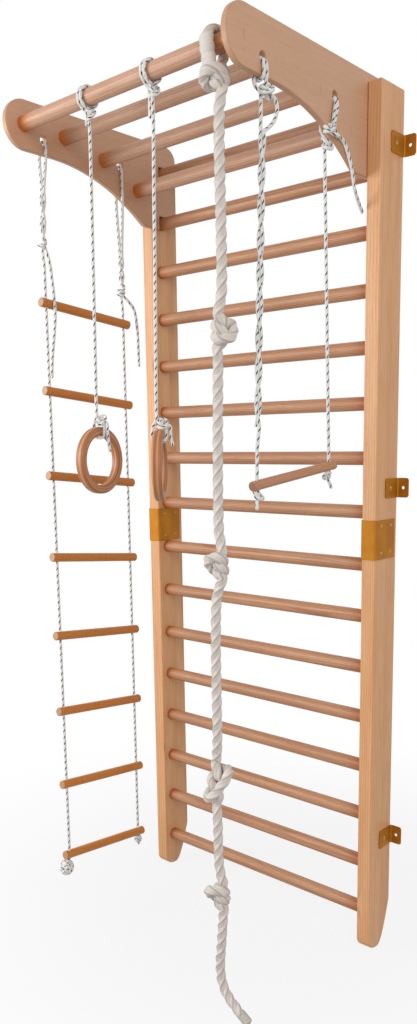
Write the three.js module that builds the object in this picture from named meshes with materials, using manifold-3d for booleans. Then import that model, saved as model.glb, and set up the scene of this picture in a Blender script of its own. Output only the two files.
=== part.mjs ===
// Swedish wall bars: a wall-hung ladder of wooden rungs between two posts, with a frame at the
// top that carries two rings, a knotted climbing rope, a rope ladder and a trapeze.
// Millimetres. X runs to the right, the front faces -Y, the wall is the plane y = 0, Z is up
// and the floor is z = 0. The origin is in the middle of the width, on the wall, at the floor.

import * as THREE from 'three';
import { mergeVertices } from 'three/addons/utils/BufferGeometryUtils.js';
import Module from 'manifold-3d';

const wasm = await Module();
wasm.setup();

// Overall sizes
const WIDTH = 800;
const HEIGHT = 2200;
const FIT_GAP = 0.3;

// Posts, each in two halves that meet midway between two rungs
const POST_WIDTH = 40;
const POST_DEPTH = 104;
const POST_ROUND = 4;
const RUNGS_ABOVE_JOINT = 8;
const TOE_HEIGHT = 28;
const HEEL_HEIGHT = 118;
const FOOT_FLAT_FRONT = 66;
const FOOT_FLAT_REAR = 56;

// Rungs of the wall ladder
const RUNG_COUNT = 16;
const RUNG_DIAMETER = 35;
const RUNG_SETBACK = 68;
const RUNG_TENON = 20;
const LOWEST_RUNG = 104;
const TOP_MARGIN = 56;
const RUNG_SIDES = 16;

// Side panels of the top frame; the bend takes its share of the lower edge's fall
const PANEL_THICKNESS = 15;
const PANEL_GAP = 0.6;
const PANEL_RISE = 22;
const PANEL_REAR = 16;
const PANEL_ROUND = 3;
const PANEL_CORNER = 37;
const NOSE_RADIUS = 59.5;
const NOSE_REACH = 558;
const EDGE_BEND_START = 476;
const EDGE_BEND_SHARE = 0.89;
const EDGE_BEND_ANGLE = THREE.MathUtils.degToRad(35.9);
const EDGE_FILLET = 30;
const PANEL_FOOT = 18;

// Bars between the panels, by reach from the wall and drop below the front bar; their ends
// stand in blind bores
const TOP_BAR_DIAMETER = 37;
const TOP_BAR_TENON = 10;
const FRONT_BAR_REACH = 564.5;
const TOP_BARS = [
  { name: 'top_bar_front', reach: FRONT_BAR_REACH, drop: 0 },
  { name: 'top_bar_second', reach: 435, drop: 3 },
  { name: 'top_bar_third', reach: 300, drop: 29 },
  { name: 'top_bar_rear', reach: 174, drop: 83 },
];

// Holes in the panels that the cords of the ladder and the trapeze pass through
const CORD_HOLE_DIAMETER = 22;
const FRONT_HOLE = { reach: 502, drop: 25 };
const REAR_HOLE = { reach: 239, drop: 29 };

// Steel sleeves over the joints of the posts, and wall brackets
const SLEEVE_HEIGHT = 100;
const SLEEVE_SHEET = 2;
const SLEEVE_SHORT = 14;
const BRACKET_HEIGHT = 50;
const BRACKET_SHEET = 2.5;
const BRACKET_SIDE = 62;
const BRACKET_WALL = 33;
const BRACKET_HOLE = 8;
const BRACKET_BELOW_TOP = 128;
const BRACKET_ABOVE_JOINT = 128;
const LOWEST_BRACKET = 309;

// Braided cord
const CORD = 8;
const CORD_SIDES = 8;
const KNOTTED_SIDES = 6;
const STRAND_SPACING = 10;
const KNOT_TAIL = 26;

// Rope ladder: heights are at the middle of each rung, and the front ends hang higher. The
// rungs hang a little closer together towards the bottom. What hangs at the top is placed by
// its drop below the top of the posts.
const LADDER_COUNT = 8;
const LADDER_RUNG = 24;
const LADDER_LENGTH = 312;
const LADDER_REACH = 374;
const LADDER_TOP = HEIGHT - 475;
const LADDER_BOTTOM = 188;
const LADDER_CLOSING = 0.031;
const LADDER_SLOPE = 33 / 312;
const LADDER_FRONT = { reach: 512, knot: HEIGHT - 310, joined: HEIGHT - 188 };
const LADDER_REAR = { reach: 238, knot: HEIGHT - 392, joined: HEIGHT - 314 };

// Trapeze: the front end of the bar hangs lower
const TRAPEZE_BAR = 22;
const TRAPEZE_LENGTH = 317;
const TRAPEZE_REACH = 379;
const TRAPEZE_HEIGHT = HEIGHT - 902;
const TRAPEZE_SLOPE = -37 / 315;
const TRAPEZE_FRONT = { reach: 494, knot: HEIGHT - 140, joined: HEIGHT - 200, hole: 520 };
const TRAPEZE_REAR = { reach: 270, knot: HEIGHT - 176, hole: 244 };
const TRAPEZE_TAIL_END = HEIGHT - 794;
const TRAPEZE_TWISTS = 4.5;

// Rings and their cords; facing is the turn of the ring's axis from +X towards +Y
const RING_OUTER = 162;
const RING_SECTION = 21;
const RING_THICKNESS = 23;
const RING_ROUND = 6;
const WINDING_PITCH = 16;
const RINGS = [
  { name: 'ring_left', x: -103, drop: 828, facing: 10, tail: 12, end: 60 },
  { name: 'ring_right', x: 103, drop: 840, facing: 38.7, tail: 44, end: 36 },
];

// Climbing rope: sideways place and height of its middle line, and heights of its knots
const ROPE = 23.5;
const ROPE_SIDES = 8;
const ROPE_X = 288;
const ROPE_TOP_KNOT = HEIGHT - 134;
const ROPE_KNOTS = [
  { x: 294, z: 1606, turn: 40 },
  { x: 280, z: 1107, turn: 200 },
  { x: 264, z: 597, turn: 320 },
  { x: 270, z: 320, turn: 130 },
];
const ROPE_END = [
  [272, 200],
  [267, 140],
  [270, 104],
  [283, 74],
  [307, 52],
  [332, 36],
];
const WHIPPING_LENGTH = 26;
const EYE_THICKNESS = 15;
const EYE_WIDTH = 33;

// Colours and finishes
const PINE = { color: '#c8966f', roughness: 0.55, metalness: 0 };
const BEECH = { color: '#be7d45', roughness: 0.5, metalness: 0 };
const PLATED_STEEL = { color: '#b06e14', roughness: 0.35, metalness: 0.9 };
const BRAID = { color: '#d9d9d6', roughness: 0.85, metalness: 0 };
const COTTON = { color: '#d7d0c6', roughness: 0.95, metalness: 0 };

// Sizes that follow from the ones above
const POST_INNER = WIDTH / 2 - POST_WIDTH;
const RUNG_PITCH = (HEIGHT - TOP_MARGIN - LOWEST_RUNG) / (RUNG_COUNT - 1);
const rungHeight = (number) => HEIGHT - TOP_MARGIN - (number - 1) * RUNG_PITCH;
const RUNG_Y = -RUNG_SETBACK;
const SPLIT_HEIGHT = rungHeight(RUNGS_ABOVE_JOINT) - RUNG_PITCH / 2;
const PANEL_X = POST_INNER - PANEL_GAP - PANEL_THICKNESS / 2;
const PANEL_TOP = HEIGHT + PANEL_RISE;
const BAR_Y = -FRONT_BAR_REACH;
const BAR_Z = PANEL_TOP - NOSE_RADIUS;
const BAR_LENGTH = 2 * (PANEL_X - PANEL_THICKNESS / 2 + TOP_BAR_TENON);
const PANEL_FLAT = BAR_Z - NOSE_RADIUS;
const PANEL_BOTTOM = rungHeight(2) - PANEL_FOOT;
const EDGE_BEND_FALL = EDGE_BEND_SHARE * (PANEL_FLAT - PANEL_BOTTOM);
const EDGE_BEND_RADIUS = EDGE_BEND_FALL / (1 - Math.cos(EDGE_BEND_ANGLE));
const BRACKETS = [
  { name: 'upper', height: HEIGHT - BRACKET_BELOW_TOP },
  { name: 'middle', height: SPLIT_HEIGHT + BRACKET_ABOVE_JOINT },
  { name: 'lower', height: LOWEST_BRACKET },
];

const group = new THREE.Group();
const point = (x, y, z) => new THREE.Vector3(x, y, z);

function add(name, geometry, finish, place = point(0, 0, 0)) {
  const mesh = new THREE.Mesh(geometry, new THREE.MeshStandardMaterial(finish));
  mesh.name = name;
  mesh.position.copy(place);
  group.add(mesh);
}

// Joining and cutting
function toSolid(geometry) {
  const bare = geometry.clone();
  bare.deleteAttribute('normal');
  bare.deleteAttribute('uv');
  const merged = mergeVertices(bare, 1e-4);
  return new wasm.Manifold(new wasm.Mesh({
    numProp: 3,
    vertProperties: new Float32Array(merged.attributes.position.array),
    triVerts: new Uint32Array(merged.index.array),
  }));
}

function toGeometry(solid) {
  const mesh = solid.getMesh();
  const geometry = new THREE.BufferGeometry();
  geometry.setAttribute('position', new THREE.BufferAttribute(mesh.vertProperties, 3));
  geometry.setIndex(new THREE.BufferAttribute(mesh.triVerts, 1));
  geometry.computeVertexNormals();
  return geometry;
}

function cut(geometry, tools) {
  let solid = toSolid(geometry);
  for (const tool of tools) {
    solid = solid.subtract(toSolid(tool));
  }
  return toGeometry(solid);
}

// A round bar along X, with its middle at the given place
function barAlongX(diameter, length, sides, place) {
  const bar = new THREE.CylinderGeometry(diameter / 2, diameter / 2, length, sides);
  bar.rotateZ(Math.PI / 2);
  bar.translate(place.x, place.y, place.z);
  return bar;
}

// A plate whose outline is drawn in Y and Z, with its middle at x and its edges rounded over
function plateAlongX(outline, x, thickness, round) {
  const plate = new THREE.ExtrudeGeometry(outline, {
    depth: thickness - 2 * round,
    bevelThickness: round,
    bevelSize: round,
    bevelOffset: -round,
    bevelSegments: 1,
    curveSegments: 8,
  });
  plate.translate(0, 0, round - thickness / 2);
  plate.applyMatrix4(new THREE.Matrix4().makeBasis(point(0, 1, 0), point(0, 0, 1), point(1, 0, 0)));
  plate.translate(x, 0, 0);
  return plate;
}

// Posts: the lower half has a foot that is cut away at the back for a skirting board
function lowerPostOutline() {
  const outline = new THREE.Shape();
  outline.moveTo(-POST_DEPTH, SPLIT_HEIGHT - FIT_GAP / 2);
  outline.lineTo(-POST_DEPTH, TOE_HEIGHT);
  outline.quadraticCurveTo(-POST_DEPTH + 8, 3, -FOOT_FLAT_FRONT, 0);
  outline.lineTo(-FOOT_FLAT_REAR, 0);
  outline.bezierCurveTo(-36, 6, -18, HEEL_HEIGHT / 2, 0, HEEL_HEIGHT);
  outline.lineTo(0, SPLIT_HEIGHT - FIT_GAP / 2);
  return outline;
}

function upperPostOutline() {
  const outline = new THREE.Shape();
  outline.moveTo(-POST_DEPTH, HEIGHT);
  outline.lineTo(-POST_DEPTH, SPLIT_HEIGHT + FIT_GAP / 2);
  outline.lineTo(0, SPLIT_HEIGHT + FIT_GAP / 2);
  outline.lineTo(0, HEIGHT);
  return outline;
}

function rungBores(lowest, highest) {
  const bores = [];
  for (let number = 1; number <= RUNG_COUNT; number += 1) {
    const z = rungHeight(number);
    if (z > lowest && z < highest) {
      const bore = RUNG_DIAMETER + 2 * FIT_GAP;
      bores.push(barAlongX(bore, 2 * (POST_INNER + RUNG_TENON), RUNG_SIDES, point(0, RUNG_Y, z)));
    }
  }
  return bores;
}

for (const [side, sign] of [['left', -1], ['right', 1]]) {
  const x = sign * (WIDTH - POST_WIDTH) / 2;
  const lower = plateAlongX(lowerPostOutline(), x, POST_WIDTH, POST_ROUND);
  const upper = plateAlongX(upperPostOutline(), x, POST_WIDTH, POST_ROUND);
  add(`post_${side}_lower`, cut(lower, rungBores(0, SPLIT_HEIGHT)), PINE);
  add(`post_${side}_upper`, cut(upper, rungBores(SPLIT_HEIGHT, HEIGHT)), PINE);
}

for (let number = 1; number <= RUNG_COUNT; number += 1) {
  const length = 2 * (POST_INNER + RUNG_TENON - FIT_GAP);
  const rung = barAlongX(RUNG_DIAMETER, length, RUNG_SIDES, point(0, 0, 0));
  const name = `rung_${String(number).padStart(2, '0')}`;
  add(name, rung, PINE, point(0, RUNG_Y, rungHeight(number)));
}

// Panels: they hook over the two top rungs and reach forward to a round nose
function panelLowerEdge(reach) {
  const along = EDGE_BEND_START - reach;
  if (along < 0) {
    return PANEL_FLAT;
  }
  return PANEL_FLAT - EDGE_BEND_RADIUS + Math.sqrt(EDGE_BEND_RADIUS ** 2 - along ** 2);
}

function panelOutline() {
  const half = RUNG_DIAMETER / 2 + FIT_GAP;
  const hookFront = RUNG_Y - half;
  const bendCentre = PANEL_FLAT - EDGE_BEND_RADIUS;
  const bendEndY = -EDGE_BEND_START + EDGE_BEND_RADIUS * Math.sin(EDGE_BEND_ANGLE);
  const bendEndZ = bendCentre + EDGE_BEND_RADIUS * Math.cos(EDGE_BEND_ANGLE);
  const slopeEndY = bendEndY + (bendEndZ - PANEL_BOTTOM) / Math.tan(EDGE_BEND_ANGLE);
  const filletRun = EDGE_FILLET * Math.tan(EDGE_BEND_ANGLE / 2);
  const filletY = slopeEndY - filletRun * Math.cos(EDGE_BEND_ANGLE);
  const filletZ = PANEL_BOTTOM + filletRun * Math.sin(EDGE_BEND_ANGLE);
  const outline = new THREE.Shape();
  outline.moveTo(-NOSE_REACH, PANEL_FLAT);
  outline.lineTo(-EDGE_BEND_START, PANEL_FLAT);
  const bendTo = Math.PI / 2 - EDGE_BEND_ANGLE;
  outline.absarc(-EDGE_BEND_START, bendCentre, EDGE_BEND_RADIUS, Math.PI / 2, bendTo, true);
  outline.lineTo(filletY, filletZ);
  outline.quadraticCurveTo(slopeEndY, PANEL_BOTTOM, slopeEndY + filletRun, PANEL_BOTTOM);
  outline.lineTo(hookFront, PANEL_BOTTOM);
  outline.lineTo(hookFront, rungHeight(2) + half);
  outline.lineTo(-PANEL_REAR, rungHeight(2) + half);
  outline.lineTo(-PANEL_REAR, rungHeight(1) - half);
  outline.lineTo(hookFront, rungHeight(1) - half);
  outline.lineTo(hookFront, rungHeight(1) + half);
  outline.lineTo(-PANEL_REAR, rungHeight(1) + half);
  outline.lineTo(-PANEL_REAR, PANEL_TOP - PANEL_CORNER);
  outline.absarc(-PANEL_REAR - PANEL_CORNER, PANEL_TOP - PANEL_CORNER, PANEL_CORNER, 0, Math.PI / 2, false);
  outline.lineTo(-NOSE_REACH, PANEL_TOP);
  outline.absarc(-NOSE_REACH, BAR_Z, NOSE_RADIUS, Math.PI / 2, 1.5 * Math.PI, false);
  for (const hole of [FRONT_HOLE, REAR_HOLE]) {
    const circle = new THREE.Path();
    circle.absarc(-hole.reach, BAR_Z - hole.drop, CORD_HOLE_DIAMETER / 2, 0, 2 * Math.PI, true);
    outline.holes.push(circle);
  }
  return outline;
}

const barBores = TOP_BARS.map((bar) => {
  const place = point(0, -bar.reach, BAR_Z - bar.drop);
  return barAlongX(TOP_BAR_DIAMETER + 2 * FIT_GAP, BAR_LENGTH + 2 * FIT_GAP, RUNG_SIDES, place);
});
for (const [side, sign] of [['left', -1], ['right', 1]]) {
  const plate = plateAlongX(panelOutline(), sign * PANEL_X, PANEL_THICKNESS, PANEL_ROUND);
  add(`panel_${side}`, cut(plate, barBores), PINE);
}
for (const bar of TOP_BARS) {
  const shape = barAlongX(TOP_BAR_DIAMETER, BAR_LENGTH, RUNG_SIDES, point(0, 0, 0));
  add(bar.name, shape, PINE, point(0, -bar.reach, BAR_Z - bar.drop));
}

// Sleeves: folded sheet round the front and both sides of the joint between two post halves
function sleeveOutline() {
  const inner = POST_WIDTH / 2 + FIT_GAP;
  const outer = inner + SLEEVE_SHEET;
  const front = -POST_DEPTH - FIT_GAP;
  const bend = POST_ROUND;
  const outline = new THREE.Shape();
  outline.moveTo(outer, -SLEEVE_SHORT);
  outline.lineTo(inner, -SLEEVE_SHORT);
  outline.lineTo(inner, front + bend);
  outline.absarc(inner - bend, front + bend, bend, 0, -Math.PI / 2, true);
  outline.lineTo(-inner + bend, front);
  outline.absarc(-inner + bend, front + bend, bend, -Math.PI / 2, -Math.PI, true);
  outline.lineTo(-inner, -SLEEVE_SHORT);
  outline.lineTo(-outer, -SLEEVE_SHORT);
  outline.lineTo(-outer, front + bend);
  outline.absarc(-inner + bend, front + bend, bend + SLEEVE_SHEET, Math.PI, 1.5 * Math.PI, false);
  outline.lineTo(inner - bend, front - SLEEVE_SHEET);
  outline.absarc(inner - bend, front + bend, bend + SLEEVE_SHEET, -Math.PI / 2, 0, false);
  return outline;
}

for (const [side, sign] of [['left', -1], ['right', 1]]) {
  const options = { depth: SLEEVE_HEIGHT, bevelEnabled: false, curveSegments: 4 };
  const sleeve = new THREE.ExtrudeGeometry(sleeveOutline(), options);
  const x = sign * (WIDTH - POST_WIDTH) / 2;
  add(`sleeve_${side}`, sleeve, PLATED_STEEL, point(x, 0, SPLIT_HEIGHT - SLEEVE_HEIGHT / 2));
}

// Brackets: an angle of sheet on the outer side of the post, with an open hole for a wall screw
function bracket(sign) {
  const near = WIDTH / 2 + FIT_GAP;
  const far = near + BRACKET_WALL;
  const outline = new THREE.Shape();
  outline.moveTo(sign * near, -BRACKET_SIDE);
  outline.lineTo(sign * (near + BRACKET_SHEET), -BRACKET_SIDE);
  outline.lineTo(sign * (near + BRACKET_SHEET), -BRACKET_SHEET);
  outline.lineTo(sign * far, -BRACKET_SHEET);
  outline.lineTo(sign * far, 0);
  outline.lineTo(sign * near, 0);
  const options = { depth: BRACKET_HEIGHT, bevelEnabled: false };
  const angle = new THREE.ExtrudeGeometry(outline, options);
  angle.translate(0, 0, -BRACKET_HEIGHT / 2);
  const hole = new THREE.CylinderGeometry(BRACKET_HOLE / 2, BRACKET_HOLE / 2, 20, 12);
  hole.translate(sign * (near + far + BRACKET_SHEET) / 2, 0, 0);
  return cut(angle, [hole]);
}

for (const [side, sign] of [['left', -1], ['right', 1]]) {
  for (const place of BRACKETS) {
    add(`bracket_${side}_${place.name}`, bracket(sign), PLATED_STEEL, point(0, 0, place.height));
  }
}

// Routes of cords and ropes: lists of points, which a tube follows point by point
class Route extends THREE.CatmullRomCurve3 {
  getUtoTmapping(along) {
    return along;
  }
}

function tube(points, diameter, sides) {
  const section = new THREE.Shape();
  for (let corner = 0; corner < sides; corner += 1) {
    const angle = (2 * Math.PI * corner) / sides;
    const x = (diameter / 2) * Math.cos(angle);
    const y = (diameter / 2) * Math.sin(angle);
    if (corner === 0) {
      section.moveTo(x, y);
    } else {
      section.lineTo(x, y);
    }
  }
  return new THREE.ExtrudeGeometry(section, {
    steps: points.length - 1,
    extrudePath: new Route(points),
    bevelEnabled: false,
  });
}

function smooth(points, steps) {
  return new THREE.CatmullRomCurve3(points).getSpacedPoints(steps);
}

function straight(from, to, steps) {
  const points = [];
  for (let step = 0; step <= steps; step += 1) {
    points.push(from.clone().lerp(to, step / steps));
  }
  return points;
}

function routeLength(points) {
  let length = 0;
  for (let index = 1; index < points.length; index += 1) {
    length += points[index].distanceTo(points[index - 1]);
  }
  return length;
}

// The least gap between a tube and itself, over points that are far apart along it
function leastGap(points, diameter) {
  const dense = new THREE.CatmullRomCurve3(points).getPoints(4 * points.length);
  const along = [0];
  for (let index = 1; index < dense.length; index += 1) {
    along.push(along[index - 1] + dense[index].distanceTo(dense[index - 1]));
  }
  let least = Infinity;
  for (let first = 0; first < dense.length; first += 1) {
    for (let second = first + 1; second < dense.length; second += 1) {
      if (along[second] - along[first] > 2 * diameter) {
        least = Math.min(least, dense[first].distanceTo(dense[second]) - diameter);
      }
    }
  }
  return least;
}

function addCord(name, points, diameter, sides, finish) {
  const gap = leastGap(points, diameter).toFixed(2);
  console.log(`${name}: length ${routeLength(points).toFixed(0)}, least gap to itself ${gap}`);
  add(name, tube(points, diameter, sides), finish);
}

// An overhand knot pulled tight, in diameters of its rope, from its upper end to its lower end.
// It starts loose: down a helix of one and a half turns, up round the outside, and down a
// second helix between the turns of the first. Then the rope is shortened a little at a time,
// while points that come closer than a diameter push each other apart.
const KNOT_POINTS = 90;
const KNOT_REACH = 2;
const KNOT_CLEARANCE = 1.15;

function looseKnot() {
  const height = 5;
  const radius = 1.1;
  const points = [point(-radius, 0, height / 2 + 1)];
  for (let step = 0; step <= 40; step += 1) {
    const angle = Math.PI + (3 * Math.PI * step) / 40;
    const z = height / 2 - (height * step) / 40;
    points.push(point(radius * Math.cos(angle), radius * Math.sin(angle), z));
  }
  for (let step = 1; step < 30; step += 1) {
    const angle = -Math.PI / 2 + (Math.PI * step) / 30;
    points.push(point(radius + 3.2 * Math.cos(angle), 0, (height / 2) * Math.sin(angle)));
  }
  for (let step = 0; step <= 40; step += 1) {
    const angle = (3 * Math.PI * step) / 40;
    const z = height / 2 - (height * step) / 40;
    points.push(point(radius * Math.cos(angle), radius * Math.sin(angle), z));
  }
  points.push(point(-radius, 0, -height / 2 - 1));
  return smooth(points, KNOT_POINTS - 1);
}

function moveApart(first, second, distance, wanted) {
  const move = second.clone().sub(first).multiplyScalar((wanted - distance) / distance / 2);
  first.sub(move);
  second.add(move);
}

function relaxKnot(points, spacing) {
  const last = points.length - 1;
  const skip = Math.ceil(1.7 / spacing);
  for (let index = 1; index <= last; index += 1) {
    const distance = points[index].distanceTo(points[index - 1]);
    moveApart(points[index - 1], points[index], distance, spacing);
  }
  for (let first = 0; first <= last; first += 1) {
    for (let second = first + skip; second <= last; second += 1) {
      const distance = points[first].distanceTo(points[second]);
      if (distance < KNOT_CLEARANCE) {
        moveApart(points[first], points[second], distance, KNOT_CLEARANCE);
      }
    }
  }
  for (let index = 1; index < last; index += 1) {
    const middle = points[index - 1].clone().add(points[index + 1]).multiplyScalar(0.5);
    points[index].lerp(middle, 0.1);
  }
  points[0].set(points[0].x * 0.9, 0, KNOT_REACH);
  points[last].set(points[last].x * 0.9, 0, -KNOT_REACH);
}

function overhandKnot() {
  const points = looseKnot();
  let spacing = routeLength(points) / (KNOT_POINTS - 1);
  while (routeLength(points) < 1.06 * spacing * (KNOT_POINTS - 1)) {
    spacing *= 0.998;
    for (let pass = 0; pass < 8; pass += 1) {
      relaxKnot(points, spacing);
    }
  }
  return points;
}

const tightKnot = overhandKnot();

// The points of a knot in a rope that hangs down, turned about the rope; shift moves its body
// across the rope, in diameters
function knotAt(place, diameter, turn, shift, steps) {
  const angle = THREE.MathUtils.degToRad(turn);
  const placed = tightKnot.map((local) => {
    const moved = local.clone().sub(point(shift, 0, 0)).multiplyScalar(diameter);
    return moved.applyAxisAngle(point(0, 0, 1), angle).add(place);
  });
  return smooth(placed, steps);
}

// Loops of cord through the holes of a panel, from the knot below it up one side, over the
// lower rim of the hole and down the other side
const CORD_FACE = PANEL_THICKNESS / 2 + CORD / 2 + 1.1;
const LOOP_CLEAR = STRAND_SPACING / 2 + CORD / 2;
const SWING_GAP = 1.2;
const LEG_STEPS = 8;

function arch(panelX, hole, from, to, steps, aside = 0) {
  const points = [];
  for (let step = 0; step <= steps; step += 1) {
    const angle = from + ((to - from) * step) / steps;
    const z = BAR_Z - hole.drop - 20 + 18.5 * Math.sin(angle);
    points.push(point(panelX + CORD_FACE * Math.cos(angle), -hole.reach + aside, z));
  }
  return points;
}

function loopLeg(panelX, side, hole, hang) {
  const bottom = hang.knot + LOOP_CLEAR;
  const top = BAR_Z - hole.drop - 24;
  const edge = panelLowerEdge(hole.reach);
  const points = [];
  for (let step = 0; step <= LEG_STEPS; step += 1) {
    const z = bottom + ((top - bottom) * step) / LEG_STEPS;
    const spread = THREE.MathUtils.smoothstep(z, hang.joined, edge);
    const across = THREE.MathUtils.lerp(STRAND_SPACING / 2, CORD_FACE, spread);
    const reach = THREE.MathUtils.mapLinear(z, bottom, top, hang.reach, hole.reach);
    points.push(point(panelX + side * across, -reach, z));
  }
  return points;
}

function panelLoop(panelX, hole, hang) {
  const rise = loopLeg(panelX, 1, hole, hang);
  const fall = loopLeg(panelX, -1, hole, hang).reverse();
  return [...rise, ...arch(panelX, hole, 0, Math.PI, 8), ...fall];
}

// A loop that goes round the rim of the panel twice, with both turns side by side in the hole
function doubleLoop(panelX, hole, hang) {
  const edge = panelLowerEdge(hole.reach);
  const bottom = hang.knot + LOOP_CLEAR;
  const half = STRAND_SPACING / 2;
  const aside = half - 0.3;
  const under = [];
  for (let step = 1; step < 6; step += 1) {
    const angle = Math.PI * (1 + step / 6);
    const over = THREE.MathUtils.smoothstep(step, 0, 6);
    const y = -hole.reach + THREE.MathUtils.lerp(aside, -aside, over);
    under.push(point(panelX + CORD_FACE * Math.cos(angle), y, edge + 5.5 * Math.sin(angle)));
  }
  const route = [
    point(panelX + half, -hang.reach, bottom),
    point(panelX + half, -hang.reach, edge - 25),
    point(panelX + 2 * half, -hang.reach - 2, edge - 10),
    point(panelX + CORD_FACE, -hole.reach + aside, edge),
    ...arch(panelX, hole, 0, Math.PI, 8, aside),
    point(panelX - CORD_FACE, -hole.reach + aside, edge),
    ...under,
    point(panelX + CORD_FACE, -hole.reach - aside, edge),
    ...arch(panelX, hole, 0, Math.PI, 8, -aside),
    point(panelX - CORD_FACE, -hole.reach - aside, edge),
    point(panelX - CORD_FACE, -hole.reach - aside, edge - 7),
    point(panelX - 2 * half, -hole.reach - 2, edge - 16),
    point(panelX - half, -hang.reach - 2, edge - 25),
    point(panelX - half, -hang.reach, bottom),
  ];
  return smooth(route, 46);
}

// Rope ladder
function drilledBar(diameter, length, slope, reach, holes) {
  const chamfer = 1.5;
  const radius = diameter / 2;
  const profile = [
    new THREE.Vector2(0, -length / 2),
    new THREE.Vector2(radius - chamfer, -length / 2),
    new THREE.Vector2(radius, -length / 2 + chamfer),
    new THREE.Vector2(radius, length / 2 - chamfer),
    new THREE.Vector2(radius - chamfer, length / 2),
    new THREE.Vector2(0, length / 2),
  ];
  const bar = new THREE.LatheGeometry(profile, 12);
  bar.rotateX(-Math.atan(slope));
  const drills = holes.map((hole) => {
    const bore = (CORD / 2 + FIT_GAP) / Math.cos(Math.PI / CORD_SIDES);
    const drill = new THREE.CylinderGeometry(bore, bore, 2 * diameter, CORD_SIDES);
    drill.rotateX(Math.PI / 2);
    drill.translate(0, reach - hole, (hole - reach) * slope);
    return drill;
  });
  return cut(bar, drills);
}

const ladderX = -PANEL_X;
const ladderHoles = [LADDER_FRONT.reach, LADDER_REAR.reach];
for (let number = 1; number <= LADDER_COUNT; number += 1) {
  const share = (number - 1) / (LADDER_COUNT - 1);
  const fall = share + LADDER_CLOSING * share * (1 - share);
  const bar = drilledBar(LADDER_RUNG, LADDER_LENGTH, LADDER_SLOPE, LADDER_REACH, ladderHoles);
  const height = THREE.MathUtils.lerp(LADDER_TOP, LADDER_BOTTOM, fall);
  const place = point(ladderX, -LADDER_REACH, height);
  add(`ladder_rung_${number}`, bar, BEECH, place);
}

// A turn back over the knot, from one strand to the strand beside it
function turnBack(x, y, z) {
  const points = [];
  for (let step = 0; step <= 6; step += 1) {
    const angle = (Math.PI * step) / 6;
    const across = (STRAND_SPACING / 2) * Math.cos(angle);
    points.push(point(x - across, y, z + (STRAND_SPACING / 2) * Math.sin(angle)));
  }
  return points;
}

// A cord from its tail and stopper knot under a bar, straight up through the bar
function stoppedCord(x, y, barBottom, turn) {
  const knot = point(x, y, barBottom - KNOT_REACH * CORD - CORD);
  const route = knotAt(knot, CORD, turn, 0, 26).reverse();
  const tail = point(x, y, knot.z - KNOT_REACH * CORD - KNOT_TAIL);
  return [...straight(tail, route[0], 2).slice(0, -1), ...route, point(x, y, barBottom - 2)];
}

function ladderCord(hang, turn, tail) {
  const y = -hang.reach;
  const barMiddle = LADDER_BOTTOM + (hang.reach - LADDER_REACH) * LADDER_SLOPE;
  const barBottom = barMiddle - LADDER_RUNG / 2;
  const lower = stoppedCord(ladderX, y, barBottom, turn);
  const strand = ladderX - STRAND_SPACING / 2;
  const tailSide = tail.map(([x, reach, drop]) => point(ladderX + x, -reach, hang.knot - drop));
  return [
    ...lower,
    ...straight(point(ladderX, y, barBottom + 4), point(ladderX, y, hang.knot - 60), 3),
    point(strand, y, hang.knot - 20),
    ...turnBack(ladderX, y, hang.knot),
    ...smooth([point(ladderX + STRAND_SPACING / 2, y, hang.knot - 12), ...tailSide], 12),
  ];
}

// The tail of the front cord bows out past the first rung and comes back above the second;
// the tail of the rear cord hangs free. Places are sideways offset, reach and drop from the knot.
const frontTail = [
  [9, 503, 40],
  [14, 500, 91],
  [18, 498, 147],
  [18, 497, 177],
  [15, 500, 224],
  [11, 506, 284],
  [10, 509, 320],
  [10, 510, 342],
];
const rearTail = [
  [10, 228, 26],
  [12, 206, 50],
  [12, 194, 107],
  [11, 191, 158],
  [11, 190, 214],
];
addCord('ladder_cord_front', ladderCord(LADDER_FRONT, 30, frontTail), CORD, KNOTTED_SIDES, BRAID);
addCord('ladder_cord_rear', ladderCord(LADDER_REAR, 160, rearTail), CORD, KNOTTED_SIDES, BRAID);
const ladderLoopFront = panelLoop(ladderX, FRONT_HOLE, LADDER_FRONT);
const ladderLoopRear = panelLoop(ladderX, REAR_HOLE, LADDER_REAR);
addCord('ladder_loop_front', ladderLoopFront, CORD, CORD_SIDES, BRAID);
addCord('ladder_loop_rear', ladderLoopRear, CORD, CORD_SIDES, BRAID);

// Trapeze
const trapezeX = PANEL_X;
const trapezeHoles = [TRAPEZE_FRONT.hole, TRAPEZE_REAR.hole];
const trapezeBar = drilledBar(TRAPEZE_BAR, TRAPEZE_LENGTH, TRAPEZE_SLOPE, TRAPEZE_REACH, trapezeHoles);
add('trapeze_bar', trapezeBar, BEECH, point(trapezeX, -TRAPEZE_REACH, TRAPEZE_HEIGHT));

function trapezeBarHeight(reach) {
  return TRAPEZE_HEIGHT + (reach - TRAPEZE_REACH) * TRAPEZE_SLOPE;
}

function trapezeLower(hang, turn) {
  const bottom = trapezeBarHeight(hang.hole) - TRAPEZE_BAR / 2;
  const inBar = point(trapezeX, -hang.hole, bottom + 4);
  const overBar = point(trapezeX, -hang.hole, bottom + 40);
  return [...stoppedCord(trapezeX, -hang.hole, bottom, turn), ...straight(inBar, overBar, 3)];
}

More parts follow.
